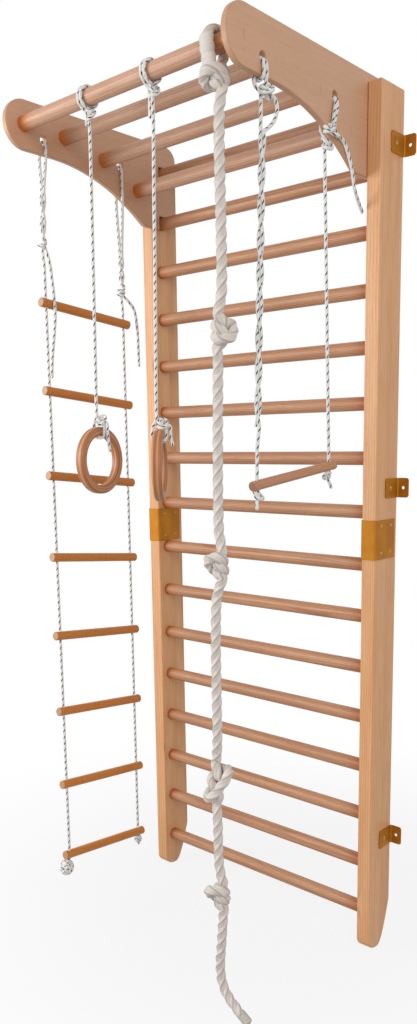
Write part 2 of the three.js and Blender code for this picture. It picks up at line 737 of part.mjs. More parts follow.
// The tail of the front cord bows away below the knot under the panel, then is twisted round it
function twistedFront() {
  const hang = TRAPEZE_FRONT;
  const lower = trapezeLower(hang, 100);
  const from = lower[lower.length - 1];
  const knot = point(trapezeX, -hang.reach, hang.knot);
  const steps = Math.round(8 * TRAPEZE_TWISTS);
  const strandPoint = (step, side) => {
    const along = step / steps;
    const z = THREE.MathUtils.lerp(TRAPEZE_TAIL_END, hang.joined, along);
    const y = THREE.MathUtils.mapLinear(z, from.z, knot.z, from.y, knot.y);
    const angle = Math.PI * (2 * TRAPEZE_TWISTS * (1 - along) + (side > 0 ? 0 : 1));
    const radius = STRAND_SPACING / 2;
    return point(trapezeX + radius * Math.cos(angle), y + radius * Math.sin(angle), z);
  };
  const rise = [];
  const fall = [];
  for (let step = 0; step <= steps; step += 1) {
    rise.push(strandPoint(step, -1));
    fall.push(strandPoint(steps - step, 1));
  }
  const below = smooth([from, point(trapezeX, from.y + 2, TRAPEZE_TAIL_END - 40), rise[0]], 5);
  const bow = [
    point(trapezeX + STRAND_SPACING / 2, knot.y, knot.z - 1),
    point(trapezeX + 6, knot.y + 5, knot.z - 11),
    point(trapezeX + 8, knot.y + 20, knot.z - 17),
    point(trapezeX + 8, knot.y + 28, knot.z - 28),
    point(trapezeX + 7, knot.y + 22, knot.z - 42),
    fall[0],
  ];
  return [
    ...lower,
    ...below.slice(1, -1),
    ...rise,
    point(trapezeX - STRAND_SPACING / 2, knot.y, knot.z - 8),
    ...turnBack(knot.x, knot.y, knot.z),
    ...smooth(bow, 10).slice(1, -1),
    ...fall,
  ];
}

function trapezeRear() {
  const hang = TRAPEZE_REAR;
  const lower = trapezeLower(hang, 250);
  const from = lower[lower.length - 1];
  const top = point(trapezeX, -hang.reach, hang.knot + LOOP_CLEAR - SWING_GAP);
  return [...lower, ...straight(from, top, 3).slice(1)];
}

// The rear loop comes down to the rim of the panel, and its long tail hangs down outside the
// panel and in behind the post.
// Places are sideways offset, reach and drop below the top of the posts.
const trapezeTail = [
  [13, 247, 116],
  [13.5, 252, 134],
  [14, 247, 147],
  [15, 232, 151],
  [15, 214, 158],
  [15, 194, 182],
  [14, 176, 214],
  [10, 160, 245],
  [2, 128, 270],
  [-4, 100, 288],
];

function trapezeRearLoop() {
  const hang = TRAPEZE_REAR;
  const hole = REAR_HOLE;
  const edge = panelLowerEdge(hang.reach - 6);
  const rise = [
    point(trapezeX, -hang.reach, hang.knot + LOOP_CLEAR),
    point(trapezeX, -hang.reach, hang.knot + LOOP_CLEAR + CORD),
    point(trapezeX - CORD_FACE + 1, -hang.reach + 3, edge - 1),
    point(trapezeX - CORD_FACE, -hang.reach + 7, edge + 24),
    point(trapezeX - CORD_FACE, -hole.reach, BAR_Z - hole.drop - 24),
  ];
  const tail = trapezeTail.map(([x, reach, drop]) => point(trapezeX + x, -reach, HEIGHT - drop));
  return [
    ...smooth(rise, 8).slice(0, -1),
    ...arch(trapezeX, hole, Math.PI, 0, 8),
    ...smooth([point(trapezeX + CORD_FACE, -hole.reach, BAR_Z - hole.drop - 28), ...tail], 18),
  ];
}

addCord('trapeze_cord_front', twistedFront(), CORD, KNOTTED_SIDES, BRAID);
addCord('trapeze_cord_rear', trapezeRear(), CORD, KNOTTED_SIDES, BRAID);
addCord('trapeze_loop_front', doubleLoop(trapezeX, FRONT_HOLE, TRAPEZE_FRONT), CORD, KNOTTED_SIDES, BRAID);
addCord('trapeze_loop_rear', trapezeRearLoop(), CORD, CORD_SIDES, BRAID);

// Rings: a rounded square section turned about the ring's axis
function ringShape() {
  const middle = RING_OUTER / 2 - RING_SECTION / 2;
  const profile = [];
  for (let corner = 0; corner < 4; corner += 1) {
    const signR = corner === 0 || corner === 3 ? 1 : -1;
    const signA = corner < 2 ? 1 : -1;
    for (let step = 0; step <= 2; step += 1) {
      const angle = (Math.PI / 2) * (corner + step / 2);
      const radius = middle + signR * (RING_SECTION / 2 - RING_ROUND) + RING_ROUND * Math.cos(angle);
      const along = signA * (RING_THICKNESS / 2 - RING_ROUND) + RING_ROUND * Math.sin(angle);
      profile.push(new THREE.Vector2(radius, along));
    }
  }
  profile.push(profile[0].clone());
  const ring = new THREE.LatheGeometry(profile, 28);
  ring.rotateZ(-Math.PI / 2);
  return ring;
}

// A ring's cord: a short tail, two turns round the bar, the drop, a turn round the ring, a tail
function ringCord(ring) {
  const radius = TOP_BAR_DIAMETER / 2 + CORD / 2 + 0.4;
  const below = BAR_Z - radius;
  const half = STRAND_SPACING / 2;
  const winding = [];
  for (let step = 2; step <= 38; step += 1) {
    const angle = (4 * Math.PI * step) / 40;
    const x = ring.x + WINDING_PITCH * (step / 20 - 1);
    winding.push(point(x, BAR_Y - radius * Math.sin(angle), BAR_Z - radius * Math.cos(angle)));
  }
  const start = [
    point(ring.x - half, BAR_Y, below - 26 - ring.tail),
    point(ring.x - half, BAR_Y, below - 26 - ring.tail + CORD),
    point(ring.x - half, BAR_Y, below - 24),
    point(ring.x - 10, BAR_Y - 3, below - 10),
    winding[0],
  ];
  const axis = THREE.MathUtils.degToRad(ring.facing);
  const section = BAR_Z - ring.drop + RING_OUTER / 2 - RING_SECTION / 2;
  const place = ([along, rise]) => {
    return point(ring.x + along * Math.cos(axis), BAR_Y + along * Math.sin(axis), section + rise);
  };
  const side = RING_THICKNESS / 2 + CORD / 2 + 0.8;
  const top = RING_SECTION / 2;
  const turn = RING_ROUND + CORD / 2 + 0.5;
  const under = -RING_SECTION / 2 - CORD / 2 - 0.8;
  const bend = turn * (1 - Math.SQRT1_2);
  const around = [
    [-half, top + 40],
    [-half, top + 26],
    [-side + 3, top + 8],
    [-side, top - RING_ROUND - 3],
    [-side, under + turn],
    [-side + bend, under + bend],
    [-side + turn, under],
    [side - turn, under],
    [side - bend, under + bend],
    [side, under + turn],
    [side, top - 3],
    [side, top + 6],
    [side + half * (1 - Math.SQRT1_2), top + 6 + half * Math.SQRT1_2],
    [side + half, top + 6 + half],
    [side + half * (1 + Math.SQRT1_2), top + 6 + half * Math.SQRT1_2],
    [side + 2 * half, top + 6],
    [side + 2 * half, top - 4],
    [side + 2 * half + 1, top - 20],
    [side + 2 * half + 6, top - ring.end],
  ].map(place);
  const drop = [
    winding[winding.length - 1],
    point(ring.x + 10, BAR_Y + 3, below - 10),
    point(ring.x + half, BAR_Y, below - 24),
    point(ring.x + half, BAR_Y, below - 60),
  ];
  return [
    ...smooth(start, 8).slice(0, -1),
    ...winding,
    ...smooth(drop, 6).slice(1),
    ...straight(drop[3], around[0], 4).slice(1, -1),
    ...smooth(around, 28),
  ];
}

for (const ring of RINGS) {
  const shape = ringShape();
  shape.rotateZ(THREE.MathUtils.degToRad(ring.facing));
  add(ring.name, shape, PINE, point(ring.x, BAR_Y, BAR_Z - ring.drop));
  addCord(`${ring.name}_cord`, ringCord(ring), CORD, KNOTTED_SIDES, BRAID);
}

// Climbing rope: its eye goes over the front bar, half of it in a smooth flat sleeve
function eyeLeg(side, diameter) {
  const radius = TOP_BAR_DIAMETER / 2 + diameter / 2 + 0.6;
  const top = BAR_Z + radius;
  const points = [point(ROPE_X, BAR_Y + (side * FIT_GAP) / 2, top), point(ROPE_X, BAR_Y + side * 2, top)];
  for (let step = 1; step <= 7; step += 1) {
    const angle = Math.PI / 2 - (Math.PI * 0.6 * step) / 7;
    const y = BAR_Y + side * radius * Math.cos(angle);
    points.push(point(ROPE_X, y, BAR_Z + radius * Math.sin(angle)));
  }
  points.push(point(ROPE_X, BAR_Y + side * (radius - 8), BAR_Z - radius + 4));
  return points;
}

function climbingRope() {
  const reach = KNOT_REACH * ROPE;
  const steps = 28;
  const topKnot = knotAt(point(ROPE_X, BAR_Y, ROPE_TOP_KNOT), ROPE, -90, 0.5, steps);
  const points = [...eyeLeg(1, ROPE), ...topKnot];
  let last = points[points.length - 1];
  for (const knot of ROPE_KNOTS) {
    const route = knotAt(point(knot.x, BAR_Y, knot.z), ROPE, knot.turn, 0.5, steps);
    const run = [
      last,
      point(THREE.MathUtils.lerp(last.x, knot.x, 0.2), BAR_Y, last.z - reach * 0.8),
      point(THREE.MathUtils.lerp(last.x, knot.x, 0.8), BAR_Y, route[0].z + reach * 0.8),
      route[0],
    ];
    points.push(...smooth(run, 6).slice(1, -1), ...route);
    last = route[route.length - 1];
  }
  const end = ROPE_END.map(([x, z]) => point(x, BAR_Y, z));
  points.push(...smooth([last, ...end], 9).slice(1));
  return points;
}

const ropePoints = climbingRope();
const ropeTip = ropePoints[ropePoints.length - 1];
const tipWay = ropeTip.clone().sub(ropePoints[ropePoints.length - 2]).normalize();
const whippingFrom = ropeTip.clone().addScaledVector(tipWay, FIT_GAP);
const whippingTo = whippingFrom.clone().addScaledVector(tipWay, WHIPPING_LENGTH);
addCord('climbing_rope', ropePoints, ROPE, ROPE_SIDES, COTTON);
const eyeSleeve = tube(eyeLeg(-1, EYE_THICKNESS), EYE_THICKNESS, ROPE_SIDES);
eyeSleeve.translate(-ROPE_X, 0, 0);
eyeSleeve.scale(EYE_WIDTH / EYE_THICKNESS, 1, 1);
eyeSleeve.translate(ROPE_X, 0, 0);
add('climbing_rope_eye', eyeSleeve, COTTON);
add('climbing_rope_whipping', tube([whippingFrom, whippingTo], ROPE, ROPE_SIDES), COTTON);

export default group;
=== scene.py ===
# Looks of the swedish wall bars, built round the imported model. X runs to the right, the front
# faces -Y, the wall is the plane y = 0, Z is up and the floor is z = 0. Sizes are written in
# millimetres, as in the part's source, and meshes are made in metres.

import math
import random

import bmesh
import bpy
import numpy as np
from mathutils import Matrix, Vector


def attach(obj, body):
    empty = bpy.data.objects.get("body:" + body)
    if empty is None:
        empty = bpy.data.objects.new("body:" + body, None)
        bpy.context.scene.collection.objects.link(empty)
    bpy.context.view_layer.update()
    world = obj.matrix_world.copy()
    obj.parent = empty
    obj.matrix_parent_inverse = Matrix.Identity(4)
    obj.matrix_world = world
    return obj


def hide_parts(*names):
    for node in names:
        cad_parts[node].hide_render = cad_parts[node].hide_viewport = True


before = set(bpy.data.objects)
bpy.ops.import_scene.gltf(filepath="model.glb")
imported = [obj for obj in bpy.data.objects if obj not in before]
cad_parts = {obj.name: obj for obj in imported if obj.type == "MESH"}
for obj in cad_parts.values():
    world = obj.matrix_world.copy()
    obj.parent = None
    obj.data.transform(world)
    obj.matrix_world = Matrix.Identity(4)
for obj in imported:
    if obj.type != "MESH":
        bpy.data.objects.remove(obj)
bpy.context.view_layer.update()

MM = 0.001
chance = random.Random(11)

# Camera, as fitted to the photograph
IMAGE_WIDTH = 417
IMAGE_HEIGHT = 1024
FOCAL_PIXELS = 867.14
AXIS_PIXEL = (203.68, 581.20)
CAMERA_PLACE = (1516.6, -2000.9, 1378.6)
CAMERA_AZIMUTH = math.radians(41.79)
CAMERA_PITCH = math.radians(-9.207)
CAMERA_ROLL = math.radians(0.906)

# Overall sizes
WIDTH = 800
HEIGHT = 2200
FIT_GAP = 0.3

# Posts and rungs
POST_WIDTH = 40
POST_DEPTH = 104
POST_ROUND = 4
RUNGS_ABOVE_JOINT = 8
TOE_HEIGHT = 28
HEEL_HEIGHT = 118
FOOT_FLAT_FRONT = 66
FOOT_FLAT_REAR = 56
RUNG_COUNT = 16
RUNG_DIAMETER = 35
RUNG_SETBACK = 68
RUNG_TENON = 20
LOWEST_RUNG = 104
TOP_MARGIN = 56

# Side panels and the bars between them, by reach from the wall and drop below the front bar
PANEL_THICKNESS = 15
PANEL_GAP = 0.6
PANEL_RISE = 22
PANEL_REAR = 16
PANEL_ROUND = 3
PANEL_CORNER = 37
NOSE_RADIUS = 59.5
NOSE_REACH = 558
EDGE_BEND_START = 476
EDGE_BEND_SHARE = 0.89
EDGE_BEND_ANGLE = math.radians(35.9)
EDGE_FILLET = 30
PANEL_FOOT = 18
TOP_BAR_DIAMETER = 37
TOP_BAR_TENON = 10
FRONT_BAR_REACH = 564.5
TOP_BARS = {
    "top_bar_front": (FRONT_BAR_REACH, 0),
    "top_bar_second": (435, 3),
    "top_bar_third": (300, 29),
    "top_bar_rear": (174, 83),
}
CORD_HOLE_DIAMETER = 22
FRONT_HOLE = {"reach": 502, "drop": 25}
REAR_HOLE = {"reach": 239, "drop": 29}

# Steel sleeves and brackets
SLEEVE_HEIGHT = 100
SLEEVE_SHEET = 2
SLEEVE_SHORT = 14
BRACKET_HEIGHT = 50
BRACKET_SHEET = 2.5
BRACKET_SIDE = 62
BRACKET_WALL = 33
BRACKET_HOLE = 8
BRACKET_CORNER = 7
BRACKET_BEND = 3.5
BRACKET_BELOW_TOP = 128
BRACKET_ABOVE_JOINT = 128
LOWEST_BRACKET = 309
SLEEVE_SCREW_RADIUS = 4.6
BRACKET_SCREW_RADIUS = 6

# Cords, with heights given as drops below the top of the posts
CORD = 8
DASH_SIDE = (0.67, -0.74, 0)
STRAND_SPACING = 10
KNOT_TAIL = 20
LADDER_COUNT = 8
LADDER_RUNG = 24
LADDER_LENGTH = 312
LADDER_REACH = 374
LADDER_TOP = HEIGHT - 475
LADDER_BOTTOM = 188
LADDER_CLOSING = 0.031
LADDER_SLOPE = 33 / 312
LADDER_FRONT = {"reach": 512, "knot": HEIGHT - 310, "joined": HEIGHT - 188}
LADDER_REAR = {"reach": 238, "knot": HEIGHT - 392, "joined": HEIGHT - 314}
TRAPEZE_BAR = 22
TRAPEZE_LENGTH = 317
TRAPEZE_REACH = 379
TRAPEZE_HEIGHT = HEIGHT - 902
TRAPEZE_SLOPE = -37 / 315
TRAPEZE_FRONT = {"reach": 494, "knot": HEIGHT - 140, "joined": HEIGHT - 200, "hole": 520}
TRAPEZE_REAR = {"reach": 270, "knot": HEIGHT - 176, "hole": 244}
TRAPEZE_TAIL_END = HEIGHT - 794
TRAPEZE_TWISTS = 4.5

# Rings and their cords
RING_OUTER = 162
RING_SECTION = 21
RING_THICKNESS = 23
RING_ROUND = 6
WINDING_PITCH = 9.5
RINGS = {
    "ring_left": {"x": -103, "drop": 828, "facing": 10, "tail": 12, "end": 60},
    "ring_right": {"x": 103, "drop": 840, "facing": 38.7, "tail": 44, "end": 36},
}

# Climbing rope: sideways place, height and turn of each knot, how far it is drawn together
# across and along the rope, and the places of the rope's lower end
ROPE = 23.5
ROPE_X = 288
ROPE_TOP_KNOT = HEIGHT - 134
ROPE_KNOTS = [
    (ROPE_X + 4, ROPE_TOP_KNOT + 34, 222, 0.78, 0.3),
    (294, 1606, 40, 0.68, 0.62),
    (280, 1107, 200, 0.66, 0.56),
    (264, 597, 320, 0.92, 0.98),
    (270, 320, 200, 0.74, 0.62),
]
ROPE_END = [(272, 200), (267, 140), (270, 104), (283, 74), (307, 52), (332, 36)]
ROPE_LAY = 84
EYE_THICKNESS = 21
EYE_WIDTH = 34
EYE_FLATNESS = 0.8
WHIPPING_LENGTH = 26

# Sizes that follow from the ones above
POST_INNER = WIDTH / 2 - POST_WIDTH
POST_X = (WIDTH - POST_WIDTH) / 2
RUNG_PITCH = (HEIGHT - TOP_MARGIN - LOWEST_RUNG) / (RUNG_COUNT - 1)
RUNG_Y = -RUNG_SETBACK
PANEL_X = POST_INNER - PANEL_GAP - PANEL_THICKNESS / 2
PANEL_TOP = HEIGHT + PANEL_RISE
BAR_Y = -FRONT_BAR_REACH
BAR_Z = PANEL_TOP - NOSE_RADIUS
PANEL_FLAT = BAR_Z - NOSE_RADIUS
LADDER_X = -PANEL_X
TRAPEZE_X = PANEL_X
SIDES = {"left": -1, "right": 1}


def rung_height(number):
    return HEIGHT - TOP_MARGIN - (number - 1) * RUNG_PITCH


SPLIT_HEIGHT = rung_height(RUNGS_ABOVE_JOINT) - RUNG_PITCH / 2
PANEL_BOTTOM = rung_height(2) - PANEL_FOOT
EDGE_BEND_RADIUS = EDGE_BEND_SHARE * (PANEL_FLAT - PANEL_BOTTOM) / (1 - math.cos(EDGE_BEND_ANGLE))


# Camera
def make_camera():
    forward = Vector((
        -math.sin(CAMERA_AZIMUTH) * math.cos(CAMERA_PITCH),
        math.cos(CAMERA_AZIMUTH) * math.cos(CAMERA_PITCH),
        math.sin(CAMERA_PITCH),
    ))
    level = Vector((math.cos(CAMERA_AZIMUTH), math.sin(CAMERA_AZIMUTH), 0))
    down = forward.cross(level)
    right = math.cos(CAMERA_ROLL) * level + math.sin(CAMERA_ROLL) * down
    up = math.sin(CAMERA_ROLL) * level - math.cos(CAMERA_ROLL) * down
    data = bpy.data.cameras.new("camera")
    data.sensor_width = 36
    data.lens = data.sensor_width * FOCAL_PIXELS / IMAGE_HEIGHT
    data.shift_x = (IMAGE_WIDTH / 2 - AXIS_PIXEL[0]) / IMAGE_HEIGHT
    data.shift_y = (AXIS_PIXEL[1] - IMAGE_HEIGHT / 2) / IMAGE_HEIGHT
    data.clip_end = 50
    camera = bpy.data.objects.new("camera", data)
    turn = Matrix((right, up, -forward)).transposed().to_4x4()
    camera.matrix_world = Matrix.Translation(Vector(CAMERA_PLACE) * MM) @ turn
    bpy.context.scene.collection.objects.link(camera)
    bpy.context.scene.camera = camera


make_camera()


# Node trees of materials
def srgb(red, green, blue):
    def linear(value):
        share = value / 255
        if share <= 0.04045:
            return share / 12.92
        return ((share + 0.055) / 1.055) ** 2.4

    return (linear(red), linear(green), linear(blue), 1.0)


class Shader:
    """A material's node tree, with short ways to add nodes and join them."""

    def __init__(self, name, roughness):
        self.material = bpy.data.materials.new(name)
        self.material.use_nodes = True
        self.tree = self.material.node_tree
        self.surface = self.tree.nodes["Principled BSDF"]
        self.surface.inputs["Roughness"].default_value = roughness

    def put(self, value, socket):
        if isinstance(value, bpy.types.NodeSocket):
            self.tree.links.new(value, socket)
        else:
            socket.default_value = value

    def attribute(self, name):
        node = self.tree.nodes.new("ShaderNodeAttribute")
        node.attribute_name = name
        return node.outputs["Vector"]

    def parts(self, vector):
        node = self.tree.nodes.new("ShaderNodeSeparateXYZ")
        self.put(vector, node.inputs[0])
        return node.outputs[0], node.outputs[1], node.outputs[2]

    def vector(self, x, y, z):
        node = self.tree.nodes.new("ShaderNodeCombineXYZ")
        for value, socket in zip((x, y, z), node.inputs):
            self.put(value, socket)
        return node.outputs[0]

    def math(self, operation, first, second=0.0):
        node = self.tree.nodes.new("ShaderNodeMath")
        node.operation = operation
        self.put(first, node.inputs[0])
        self.put(second, node.inputs[1])
        return node.outputs[0]

    def scaled(self, vector, x, y, z):
        node = self.tree.nodes.new("ShaderNodeVectorMath")
        node.operation = "MULTIPLY"
        self.put(vector, node.inputs[0])
        node.inputs[1].default_value = (x, y, z)
        return node.outputs[0]

    def noise(self, vector, scale=1.0, detail=2.0, rough=0.5):
        node = self.tree.nodes.new("ShaderNodeTexNoise")
        self.put(vector, node.inputs["Vector"])
        node.inputs["Scale"].default_value = scale
        node.inputs["Detail"].default_value = detail
        node.inputs["Roughness"].default_value = rough
        return node.outputs["Fac"]

    def step(self, value, low, high, to_low=0.0, to_high=1.0):
        node = self.tree.nodes.new("ShaderNodeMapRange")
        node.interpolation_type = "SMOOTHSTEP"
        self.put(value, node.inputs["Value"])
        node.inputs["From Min"].default_value = low
        node.inputs["From Max"].default_value = high
        node.inputs["To Min"].default_value = to_low
        node.inputs["To Max"].default_value = to_high
        return node.outputs["Result"]

    def mix(self, share, first, second, blend="MIX"):
        node = self.tree.nodes.new("ShaderNodeMix")
        node.data_type = "RGBA"
        node.blend_type = blend
        self.put(share, node.inputs[0])
        self.put(first, node.inputs[6])
        self.put(second, node.inputs[7])
        return node.outputs[2]

    def bump(self, height, strength, distance):
        node = self.tree.nodes.new("ShaderNodeBump")
        node.inputs["Strength"].default_value = strength
        node.inputs["Distance"].default_value = distance
        self.put(height, node.inputs["Height"])
        self.put(node.outputs["Normal"], self.surface.inputs["Normal"])

    def set(self, name, value):
        self.put(value, self.surface.inputs[name])


# Cord and rope materials; the lay holds the share of a turn and the metres along the cord
def braid_material():
    """Strands that cross both ways, with dark dashes slanting across two sides of the cord."""
    shader = Shader("braided_cord", 0.8)
    around, along, _ = shader.parts(shader.attribute("lay"))
    strands = 12
    turn = 0.037
    slope = shader.math("MULTIPLY", along, 1 / turn)
    rising = shader.math("MULTIPLY", shader.math("SUBTRACT", around, slope), strands)
    falling = shader.math("MULTIPLY", shader.math("ADD", around, slope), strands)
    rising_cell = shader.math("FLOOR", rising)
    falling_cell = shader.math("FLOOR", falling)
    order = shader.math("FLOORED_MODULO", shader.math("SUBTRACT", rising_cell, falling_cell), 4.0)
    rising_on_top = shader.math("LESS_THAN", order, 1.5)
    ridge_rising = shader.math("PINGPONG", rising, 0.5)
    ridge_falling = shader.math("PINGPONG", falling, 0.5)
    under = shader.math("SUBTRACT", 1.0, rising_on_top)
    height = shader.math(
        "ADD",
        shader.math("MULTIPLY", rising_on_top, ridge_rising),
        shader.math("MULTIPLY", under, ridge_falling),
    )
    sides = shader.math("ADD", shader.math("MULTIPLY", around, 2.0), 0.75)
    side = shader.math("FLOOR", sides)
    aside = shader.math("SUBTRACT", shader.math("FRACT", sides), 0.5)
    on_side = shader.step(shader.math("ABSOLUTE", aside), 0.19, 0.23, 1.0, 0.0)
    slant = shader.math("SUBTRACT", shader.math("MULTIPLY", slope, 2.0), aside)
    dash = shader.math("FRACT", shader.math("ADD", slant, shader.math("MULTIPLY", side, 0.5)))
    tracer = shader.math("MULTIPLY", on_side, shader.step(dash, 0.25, 0.29, 1.0, 0.0))
    soil = shader.noise(shader.vector(around, shader.math("MULTIPLY", along, 14.0), 0.0), 2.0, 3.0)
    white = shader.mix(soil, srgb(240, 238, 234), srgb(253, 252, 250))
    shaded = shader.mix(shader.step(height, 0.0, 0.22), srgb(212, 208, 203), white)
    shader.set("Base Color", shader.mix(tracer, shaded, srgb(16, 16, 20)))
    shader.set("Sheen Weight", 0.25)
    fibre = shader.noise(shader.vector(rising, falling, 0.0), 9.0, 2.0)
    lifted = shader.math("ADD", height, shader.math("MULTIPLY", fibre, 0.12))
    shader.bump(lifted, 0.7, 0.0012)
    return shader.material


def cotton_material():
    shader = Shader("cotton_rope", 0.95)
    around, along, _ = shader.parts(shader.attribute("lay"))
    yarn_turn = shader.math("ADD", around, shader.math("MULTIPLY", along, 1 / (ROPE_LAY * MM)))
    yarns = shader.math("PINGPONG", shader.math("MULTIPLY", yarn_turn, 42.0), 0.5)
    strand = shader.math("PINGPONG", shader.math("MULTIPLY", around, 3.0), 0.5)
    soil = shader.noise(shader.vector(around, shader.math("MULTIPLY", along, 9.0), 0.0), 2.5, 4.0)
    cotton = shader.mix(soil, srgb(214, 203, 194), srgb(244, 235, 226))
    # Painted shade: darker in the grooves between the three strands and in the fine lines between yarns
    groove_shade = shader.step(strand, 0.0, 0.2)
    groove_shaded = shader.mix(groove_shade, srgb(184, 174, 165), cotton)
    yarn_and_groove_shaded = shader.mix(shader.step(yarns, 0.0, 0.2, 0.8, 1.0), srgb(156, 146, 137), groove_shaded)
    shader.set("Base Color", yarn_and_groove_shaded)
    shader.set("Sheen Weight", 0.4)
    fuzz = shader.noise(shader.vector(around, shader.math("MULTIPLY", along, 30.0), 0.0), 60.0, 3.0)
    lifted = shader.math("ADD", shader.math("MULTIPLY", yarns, 1.0), shader.math("MULTIPLY", fuzz, 0.5))
    shader.bump(lifted, 0.6, 0.0012)
    return shader.material


def sleeve_tape_material():
    shader = Shader("rope_tape", 0.7)
    around, along, _ = shader.parts(shader.attribute("lay"))
    crease_relief_and_shade = shader.noise(shader.vector(around, shader.math("MULTIPLY", along, 40.0), 0.0), 3.0, 3.0)
    # The colour is darker where the creases sink: painted shade in their hollows
    shader.set("Base Color", shader.mix(crease_relief_and_shade, srgb(206, 197, 188), srgb(232, 226, 218)))
    wraps = shader.math("PINGPONG", shader.math("MULTIPLY", along, 90.0), 0.5)
    lifted = shader.math("ADD", crease_relief_and_shade, shader.math("MULTIPLY", shader.step(wraps, 0.0, 0.1), 0.4))
    shader.bump(lifted, 0.5, 0.002)
    return shader.material


def twine_material():
    shader = Shader("whipping_twine", 0.85)
    around, along, _ = shader.parts(shader.attribute("lay"))
    wraps = shader.math("PINGPONG", shader.math("MULTIPLY", along, 1 / 0.0016), 0.5)
    dust = shader.noise(shader.vector(around, shader.math("MULTIPLY", along, 60.0), 0.0), 8.0, 2.0)
    thread = shader.mix(dust, srgb(205, 198, 186), srgb(235, 231, 224))
    # Painted shade: darker in the grooves between turns of the twine
    shader.set("Base Color", shader.mix(shader.step(wraps, 0.0, 0.3), srgb(150, 142, 130), thread))
    shader.bump(wraps, 0.8, 0.0012)
    return shader.material


BRAID = braid_material()
COTTON = cotton_material()
TAPE = sleeve_tape_material()
TWINE = twine_material()


# Routes: lists of points in millimetres
def spline(points):
    """Close points on the centripetal spline through the given ones."""
    given = np.asarray(points, float)
    ends = np.vstack([2 * given[0] - given[1], given, 2 * given[-1] - given[-2]])
    share = np.linspace(0, 1, 16, endpoint=False)[:, None]
    pieces = []
    for index in range(len(given) - 1):
        before, start, end, after = ends[index:index + 4]
        first = np.linalg.norm(start - before) ** 0.5
        middle = np.linalg.norm(end - start) ** 0.5
        last = np.linalg.norm(after - end) ** 0.5
        leave = (start - before) / first - (end - before) / (first + middle) + (end - start) / middle
        enter = (end - start) / middle - (after - start) / (middle + last) + (after - end) / last
        leave = leave * middle
        enter = enter * middle
        square = 3 * (end - start) - 2 * leave - enter
        cube = 2 * (start - end) + leave + enter
        pieces.append(start + leave * share + square * share ** 2 + cube * share ** 3)
    pieces.append(given[-1:])
    return np.vstack(pieces)


def lengths_along(points):
    return np.concatenate([[0], np.cumsum(np.linalg.norm(np.diff(points, axis=0), axis=1))])


def route_length(points):
    return lengths_along(points)[-1]


def evenly(points, steps):
    along = lengths_along(points)
    wanted = np.linspace(0, along[-1], steps + 1)
    return np.column_stack([np.interp(wanted, along, points[:, axis]) for axis in range(3)])


def smooth(points, steps):
    return evenly(spline(points), steps)


def straight(start, end, steps):
    return np.linspace(np.asarray(start, float), np.asarray(end, float), steps + 1)


def smoothstep(value, low, high):
    share = min(max((value - low) / (high - low), 0), 1)
    return share * share * (3 - 2 * share)


def arc(centre, radius, start, end, steps):
    turns = [start + (end - start) * step / steps for step in range(steps + 1)]
    return [(centre[0] + radius * math.cos(t), centre[1] + radius * math.sin(t)) for t in turns]


# An overhand knot pulled tight, in diameters of its rope, from its upper end to its lower end.
# It starts loose, and is shortened a little at a time while close points push each other apart.
KNOT_POINTS = 90
KNOT_REACH = 2
KNOT_CLEARANCE = 1.15


def loose_knot():
    height = 5
    radius = 1.1
    points = [(-radius, 0, height / 2 + 1)]
    for step in range(41):
        angle = math.pi + 3 * math.pi * step / 40
        points.append((radius * math.cos(angle), radius * math.sin(angle), height / 2 - height * step / 40))
    for step in range(1, 30):
        angle = -math.pi / 2 + math.pi * step / 30
        points.append((radius + 3.2 * math.cos(angle), 0, height / 2 * math.sin(angle)))
    for step in range(41):
        angle = 3 * math.pi * step / 40
        points.append((radius * math.cos(angle), radius * math.sin(angle), height / 2 - height * step / 40))
    points.append((-radius, 0, -height / 2 - 1))
    return smooth(points, KNOT_POINTS - 1)


def move_apart(points, first, second, wanted):
    way = points[second] - points[first]
    distance = way.length
    move = way * ((wanted - distance) / distance / 2)
    points[first] -= move
    points[second] += move


def relax_knot(points, spacing):
    last = len(points) - 1
    for index in range(1, last + 1):
        move_apart(points, index - 1, index, spacing)
    places = np.array(points)
    distances = np.linalg.norm(places[:, None] - places[None], axis=2)
    close = np.argwhere(np.triu(distances < KNOT_CLEARANCE + 0.05, math.ceil(1.7 / spacing)))
    for first, second in close:
        if (points[second] - points[first]).length < KNOT_CLEARANCE:
            move_apart(points, first, second, KNOT_CLEARANCE)
    for index in range(1, last):
        points[index] = points[index].lerp((points[index - 1] + points[index + 1]) / 2, 0.1)
    points[0] = Vector((points[0].x * 0.9, 0, KNOT_REACH))
    points[last] = Vector((points[last].x * 0.9, 0, -KNOT_REACH))


def overhand_knot():
    points = [Vector(place) for place in loose_knot()]
    steps = KNOT_POINTS - 1
    spacing = route_length(np.array(points)) / steps
    while route_length(np.array(points)) < 1.06 * spacing * steps:
        spacing *= 0.998
        for _ in range(8):
            relax_knot(points, spacing)
    return np.array(points)


TIGHT_KNOT = overhand_knot()


def knot_at(place, diameter, turn, shift, across=1.0, along=1.0):
    """The points of a knot in a cord that hangs down, turned about the cord and drawn together."""
    angle = math.radians(turn)
    drawn = np.array((across, across, along)) * diameter
    local = (TIGHT_KNOT - np.array((shift, 0, 0))) * drawn
    x = local[:, 0] * math.cos(angle) - local[:, 1] * math.sin(angle)
    y = local[:, 0] * math.sin(angle) + local[:, 1] * math.cos(angle)
    return np.column_stack([x, y, local[:, 2]]) + np.array(place)


